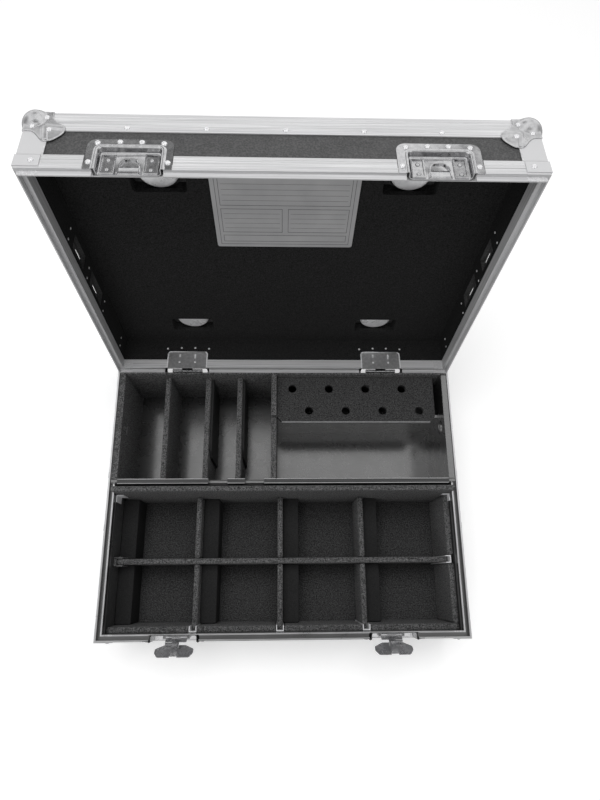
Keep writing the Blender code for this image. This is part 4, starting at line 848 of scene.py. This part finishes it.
# above each lower end the leaf's stop shows as an upright bead
marks += [slab((x - bead_half, back_front - mark_root, low), (x + bead_half, back_front + mark_rise, 0.0310))
          for x, low in ((-0.015, 0.0210), (0.015, 0.0245))]
# painted highlight: a pale raised band round each back's edge, in the rivet ends' pale finish, stands in for
# the light that its rounded edge catches
marks += band(*([(x, z) for x, depth, z in back_ring(*stage)]
                for stage in ((0.0390, 0.0374, 0.0066, 0.0), (0.0368, 0.0352, 0.0050, 0.0))),
              inner_face, back_front + mark_rise)
for across, name in zip(dish_places, ("right", "left")):
    spot = lid_opened @ wall("rear") @ at(across, 0, 0) @ upright(lid_level)
    piece(f"hinge_pan_back_{name}", pan_back, pressed_back, "lid", place=spot, sharp=60)
    piece(f"hinge_rivet_ends_{name}", marks, swaged_and_highlight, "lid", place=spot)
ends = []
for side in (-1, 1):
    inward = Matrix.Rotation(-side * math.pi / 2, 4, "Y")
    ends += moved(rivet_end, *(at(side * (case_half.x - inner_face), case_half.y - v, lid_level + w) @ inward
                               for v, w in side_ends))
piece("lid_side_rivet_ends", ends, swaged_and_highlight, "lid")


# A laminated card, printed with empty ruled panels in grey and stuck on the lining between the front
# windows. Its film is a little wavy.
card_ink = surface("pale_grey_print", 0.30, 0.35)
tint(card_ink, (300, 2), 0.15, 0.19)
card_film = surface("laminated_card", 0.60, 0.35, Specular_IOR_Level=0.5)
tint(card_film, (25, 3), 0.40, 0.46)
relief(card_film, (9, 2), 0.0008)
card_half, card_front, card_rear, card_radius = 0.105, -0.1885, -0.0400, 0.004
card_low, card_top = 0.2456, 0.2471
card = plate(round_corners((-card_half, card_front), (card_half, card_rear), card_radius), card_low, card_top)
piece("lid_blank_card", [card], card_film, "lid", "lid_card", soft=0.0004)
frame_line, row_line, row_pitch, row_inset = 0.0009, 0.0005, 0.0085, 0.004
ink_rise, row_rise, ink_root = 0.00012, 0.00010, 0.0002


def ruled_frame(x, y, far_x, far_y, line=frame_line):
    """Four thin bars of print round a panel."""
    bars = ((x, y, far_x, y + line), (x, far_y - line, far_x, far_y), (x, y, x + line, far_y),
            (far_x - line, y, far_x, far_y))
    return [slab((a, b, card_low - ink_rise), (c, d, card_low + ink_root)) for a, b, c, d in bars]


ruling = ruled_frame(-0.099, card_front + 0.006, 0.099, card_rear - 0.006)
for x, y, far_x, far_y in ((-0.094, -0.0660, 0.094, -0.0520), (-0.094, -0.1200, -0.004, -0.0720),
                           (0.004, -0.1200, 0.094, -0.0720), (-0.094, -0.1760, 0.094, -0.1260)):
    ruling += ruled_frame(x, y, far_x, far_y)
    rows = max(1, int((far_y - y) / row_pitch))
    for row in range(1, rows):
        level = y + (far_y - y) * row / rows
        ruling.append(slab((x + row_inset, level, card_low - row_rise),
                           (far_x - row_inset, level + row_line, card_low + ink_root)))
piece("lid_card_ruling", ruling, card_ink, "lid")


# Carpeted boards: plywood and card wrapped in a dark needle felt with pale flecks. The section's tall
# panel, its linings, its halved dividers and the blocks under each compartment are all made so.
felt = surface("needle_felt", 0.045, 1.0, Specular_IOR_Level=0.12, Sheen_Weight=0.10, Sheen_Roughness=0.5)
tint(felt, (430, 3, 0.8), 0.004, 0.230, 0.38, 0.70)
relief(felt, (430, 3, 0.8), 0.0026)
relief(felt, (60, 2), 0.0009)
# a darker copy of the felt, with fainter flecks, for the floor pad and the spigot shelf
floor_felt = surface("darker_felt", 0.030, 1.0, Specular_IOR_Level=0.12)
tint(floor_felt, (460, 3, 0.8), 0.010, 0.088, 0.36, 0.70)
relief(floor_felt, (500, 3, 0.8), 0.0010)
block_foam = surface("block_foam", 0.018, 0.95, Specular_IOR_Level=0.15)
tint(block_foam, (600, 3, 0.7), 0.012, 0.028)
relief(block_foam, (700, 3, 0.7), 0.0004)
half_board, gap, root = 0.005, 0.0003, 0.001
slot = half_board + gap
round_edge = 0.0040
floor_level, standing, pad_low = 0.041, 0.0413, 0.035
room_half, room_front, room_rear = 0.3137, -0.2347, 0.2347
lining_front, lining_side, lining_level = -0.2237, 0.3027, 0.153
panel_front, panel_rear, panel_level, clear_half = 0.0065, 0.0165, 0.211, 0.312
cross_y, cross_level, long_level = -0.1125, 0.141, 0.134
cross_left, cross_right = -0.3084, 0.3062
divider_gap, divider_pitch = 0.0025, 0.1541
divider_places = [lining_side - divider_gap - divider_pitch * number for number in (3, 2, 1)]
post_back, post_half, post_sheet, post_depth = -0.2332, 0.0065, 0.0012, 0.0100
halving = (floor_level + long_level) / 2
block_width, block_level = 0.030, 0.104
wrapped_half, wrapped_depth, wrapped_skin, wrapped_level = 0.0085, 0.0165, 0.005, 0.1425
channel_slot = 0.0068


def notched(start, end, low, high, notches):
    """A board's outline with notches cut down from its upper edge."""
    outline = [(start, low), (end, low), (end, high)]
    for near, far, level in reversed(notches):
        outline += [(far, high), (far, level), (near, level), (near, high)]
    return outline + [(start, high)]


pad = slab((-room_half, room_front, pad_low), (room_half, room_rear, floor_level))
piece("floor_carpet", [pad], floor_felt, "base", "base_floor_lining", soft=0.0012)
rows = ((post_back + post_depth + gap, cross_y - slot), (cross_y + slot, panel_front - gap))
blocks = [slab((start, low, pad_low + root), (start + block_width, high, block_level))
          for start in [-room_half] + [x + slot for x in divider_places] for low, high in rows]
piece("compartment_blocks", blocks, block_foam, "base", "base_floor_lining", soft=0.0016)
near_x, skin_x = wrapped_depth - room_half, wrapped_skin - room_half
cradle = [(-room_half, cross_y - wrapped_half), (near_x, cross_y - wrapped_half), (near_x, cross_y - slot),
          (skin_x, cross_y - slot), (skin_x, cross_y + slot), (near_x, cross_y + slot),
          (near_x, cross_y + wrapped_half), (-room_half, cross_y + wrapped_half)]
channel = plate(cradle, pad_low + root, wrapped_level)
piece("wrapped_channel", [channel], felt, "base", "base_floor_lining", soft=0.0014)
runs = [edge for x in divider_places for edge in (x - post_half - gap, x + post_half + gap)]
runs = [-room_half] + runs + [room_half]
front_boards = [slab((start, room_front, standing), (end, lining_front, lining_level))
                for start, end in zip(runs[::2], runs[1::2])]
piece("front_lining", front_boards, felt, "base", "section_lining", soft=round_edge)
side_boards = [slab((lining_side, low, standing), (room_half, high, lining_level)) for low, high in
               ((lining_front, cross_y - channel_slot), (cross_y + channel_slot, panel_front - gap))]
piece("side_lining", side_boards, felt, "base", "section_lining", soft=round_edge)
tall_panel = slab((-clear_half, panel_front, standing), (clear_half, panel_rear, panel_level))
piece("tall_panel", [tall_panel], felt, "base", "section_panel", soft=round_edge)
outline = notched(post_back + post_sheet + gap, panel_front - gap, standing, long_level,
                  [(cross_y - slot, cross_y + slot, halving - gap)])
for name, x in zip(("left", "middle", "right"), divider_places):
    piece(f"long_board_{name}", [plate(outline, x - half_board, x + half_board, "yz")], felt, "base",
          f"long_divider_{name}", soft=round_edge)
outline = [(cross_left, standing)]
for x in divider_places:
    outline += [(x - slot, standing), (x - slot, halving + gap), (x + slot, halving + gap),
                (x + slot, standing)]
outline += [(cross_right, standing), (cross_right, cross_level), (cross_left, cross_level)]
piece("cross_board", [plate(outline, cross_y - half_board, cross_y + half_board, "xz")], felt, "base",
      "cross_divider", soft=round_edge)
angle_leg, angle_sheet, angle_top = 0.013, 0.0012, 0.167
for name, side, low in (("left", -1, 0.133), ("right", 1, 0.1533)):
    x, y = side * (clear_half - gap), panel_front
    back, leg = x - side * angle_sheet, x - side * angle_leg
    shape = [(x, y), (leg, y), (leg, y - angle_sheet), (back, y - angle_sheet), (back, y - angle_leg),
             (x, y - angle_leg)]
    piece(f"panel_angle_{name}", [plate(shape, low, angle_top)], mill_aluminium, "base", "section_panel",
          soft=0.0003)


# The tray: thin board with a glossy dark film. The left bays' walls and dividers are felted, and their
# loose slips and the right bay are bare film. An aluminium section caps the front wall.
film = surface("glossy_film", 0.022, 0.26, Specular_IOR_Level=0.9, Coat_Weight=1.0, Coat_IOR=2.0,
               Coat_Roughness=0.16)
uneven(film, (30, 3), 0.22, 0.34)
relief(film, (7, 2), 0.0006)
relief(film, grain(film, 1, 3, 0.6, spots(film, (30, 420, 420))), 0.00012)
tint(film, grain(film, 1, 3, 0.6, spots(film, (40, 500, 500))), 0.016, 0.030)
dull_film = surface("rubbed_film", 0.020, 0.6, Specular_IOR_Level=0.3)
tint(dull_film, (200, 3), 0.014, 0.026)
tray_half, tray_inner = 0.3116, 0.3006
tray_rear, tray_in_rear, tray_front, tray_in_front = 0.2328, 0.2288, 0.0223, 0.0276
tray_low, tray_floor, tray_level = 0.0413, 0.066, 0.211
sheet_bottom, housing, seam = 0.060, 0.002, 0.0002
notch_half, notch_level = 0.017, 0.197
cap_notches = [setback - tray_inner for setback in (0.1806, 0.2466)]
bay_x = -0.020
foot_level, back_y = tray_floor - root, tray_in_rear + root
# the floor is laid in two sheets, so a seam runs under the bay wall
floor_front, floor_rear = tray_in_front - housing, tray_in_rear + housing
floor_sheets = [slab((start, floor_front, sheet_bottom), (end, floor_rear, tray_floor)) for start, end in
                ((-tray_inner - housing, bay_x - seam), (bay_x + seam, tray_inner + housing))]
piece("tray_floor", floor_sheets, film, "tray", "tray_box", soft=0.0004)
front_wall = notched(-tray_half, tray_half, tray_low, tray_level,
                     [(x - notch_half, x + notch_half, notch_level) for x in cap_notches])
piece("tray_front_wall", [plate(front_wall, tray_front, tray_in_front, "xz")], film, "tray", "tray_box",
      soft=0.0006)
rear_wall = slab((-tray_half, tray_in_rear, tray_low), (tray_half, tray_rear, tray_level))
piece("tray_rear_wall", [rear_wall], felt, "tray", "tray_box", soft=0.0012)
finger_radius, finger_y = 0.013, 0.1315
for name, side, finish in (("left", -1, felt), ("right", 1, film)):
    low_x, high_x = sorted((side * tray_inner, side * tray_half))
    end_wall = slab((low_x, tray_in_front, tray_low), (high_x, tray_in_rear, tray_level))
    finger_bit = turned_bar(finger_radius, low_x - overrun, high_x + overrun, 48)
    finger_hole = moved(finger_bit, at(0, finger_y, rim_level))
    piece(f"tray_end_wall_{name}", hollowed(end_wall, finger_hole), finish, "tray", "tray_box", soft=0.0016)
low_places = [setback - tray_inner for setback in (0.0766, 0.1536, 0.2146)]
low_level = 0.189
dividers = [slab((x - half_board, tray_in_front, foot_level), (x + half_board, back_y, low_level))
            for x in low_places]
piece("tray_low_dividers", dividers, felt, "tray", "tray_box", soft=0.0022)
slip_front, slip_rear, slip_level, slip_board, slip_clip = 0.076, 0.2288, 0.177, 0.0045, (0.012, 0.014)
slip = [(slip_front, foot_level), (slip_rear, foot_level), (slip_rear, slip_level),
        (slip_front + slip_clip[0], slip_level), (slip_front, slip_level - slip_clip[1])]
for name, x in zip(("left", "right"), low_places[1:]):
    near = x + half_board - gap
    piece(f"tray_slip_{name}", [plate(slip, near, near + slip_board, "yz")], dull_film, "tray", "tray_box",
          soft=0.0008)
notch_rear, notch_front, notch_low = 0.148, 0.115, 0.199
bay_wall = notched(tray_in_front, back_y, foot_level, tray_level, [(notch_front, notch_rear, notch_low)])
piece("tray_bay_wall", [plate(bay_wall, bay_x - half_board, bay_x + half_board, "yz")], felt, "tray",
      "tray_box", soft=0.0016)
support_y, support_board, shelf_low, shelf_level = 0.1495, 0.006, 0.186, 0.196
support = slab((bay_x + half_board - root, support_y, foot_level),
               (tray_inner + root, support_y + support_board, shelf_low - gap))
piece("shelf_support", [support], film, "tray", "tray_box", soft=0.0006)


# The spigot shelf: a felted board with eight 16 mm holes in two staggered rows, and a grey strip glued
# along its front edge. It lies on its support, a little below the top of the tray's walls.
shelf_left, shelf_right, shelf_front, shelf_rear, shelf_clip = -0.0147, 0.2885, 0.1405, 0.2285, 0.009
shelf_side = shelf_front + shelf_clip
shelf = [(shelf_left, shelf_rear), (shelf_left, shelf_side), (shelf_left + shelf_clip, shelf_front),
         (shelf_right - shelf_clip, shelf_front), (shelf_right, shelf_side), (shelf_right, shelf_rear)]
hole_radius, hole_pitch = 0.008, 0.0706
hole_rows = ((0.205, 0.0153), (0.161, 0.0467))
hole_places = [at(start + number * hole_pitch, y, 0) for y, start in hole_rows for number in range(4)]
holes = moved(drill(hole_radius, shelf_low - overrun, shelf_level + overrun), *hole_places)
spigot_board = hollowed(plate(shelf, shelf_low, shelf_level), holes)
piece("spigot_board", spigot_board, floor_felt, "tray", "spigot_shelf", soft=0.0018)
grey_strip = surface("grey_edge_strip", 0.16, 0.5)
tint(grey_strip, (300, 3), 0.12, 0.19)
strip_inset, strip_ahead, strip_root, strip_lift, strip_drop = 0.0095, 0.003, 0.0005, 0.0004, 0.0012
strip = slab((shelf_left + strip_inset, shelf_front - strip_ahead, shelf_low + strip_lift),
             (shelf_right - strip_inset, shelf_front + strip_root, shelf_level - strip_drop))
piece("spigot_board_strip", [strip], grey_strip, "tray", "spigot_shelf", soft=0.0006)
dark_coat = surface("dark_coated_cap", 0.045, 0.42, Specular_IOR_Level=0.25)
uneven(dark_coat, (40, 3), 0.36, 0.50)
tint(dark_coat, grain(dark_coat, 1, 2, 0.6, spots(dark_coat, (6, 900, 900))), 0.034, 0.060)
dress(dark_coat, "tray_front_cap")
# the coat is rubbed through to bright metal along the cap's two upper edges
cap_low, cap_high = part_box("tray_front_cap")
worn_width, worn_depth, worn_rise, worn_inset = 0.0009, 0.0006, 0.00012, 0.0004
stops = [edge for x in sorted(cap_notches) for edge in (x - notch_half, x + notch_half)]
stops = [cap_low.x] + stops + [cap_high.x]
worn_low, worn_high = cap_high.z - worn_depth, cap_high.z + worn_rise
edges = [slab((start + worn_inset, y, worn_low), (end - worn_inset, y + worn_width, worn_high))
         for y in (cap_low.y, cap_high.y - worn_width) for start, end in zip(stops[::2], stops[1::2])]
piece("tray_cap_rubbed_edges", edges, base_aluminium, "tray", place=Matrix(), soft=0.0002)


# Latches and side handles, cast or pressed and bright plated, and the four moulded rubber feet
# underneath.
dress(zinc, *[name for name in frame["nodes"] if "handle_" in name])
latch_zinc = surface("cast_zinc", 0.42, 0.28, 1.0)
uneven(latch_zinc, (70, 3), 0.20, 0.34)
tint(latch_zinc, (110, 3), 0.42, 0.58)
for name in [name for name in frame["nodes"] if "_latch_" in name and "dish" not in name]:
    dress(latch_zinc, name)
    tooled(frame["nodes"][name], "broken_edges", "BEVEL", width=0.0003, segments=2, limit_method="ANGLE",
           angle_limit=math.radians(40))
rubber = surface("black_rubber", 0.02, 0.75)
relief(rubber, (900, 2), 0.0001)
dress(rubber, *[name for name in frame["nodes"] if name.startswith("rubber_foot")])
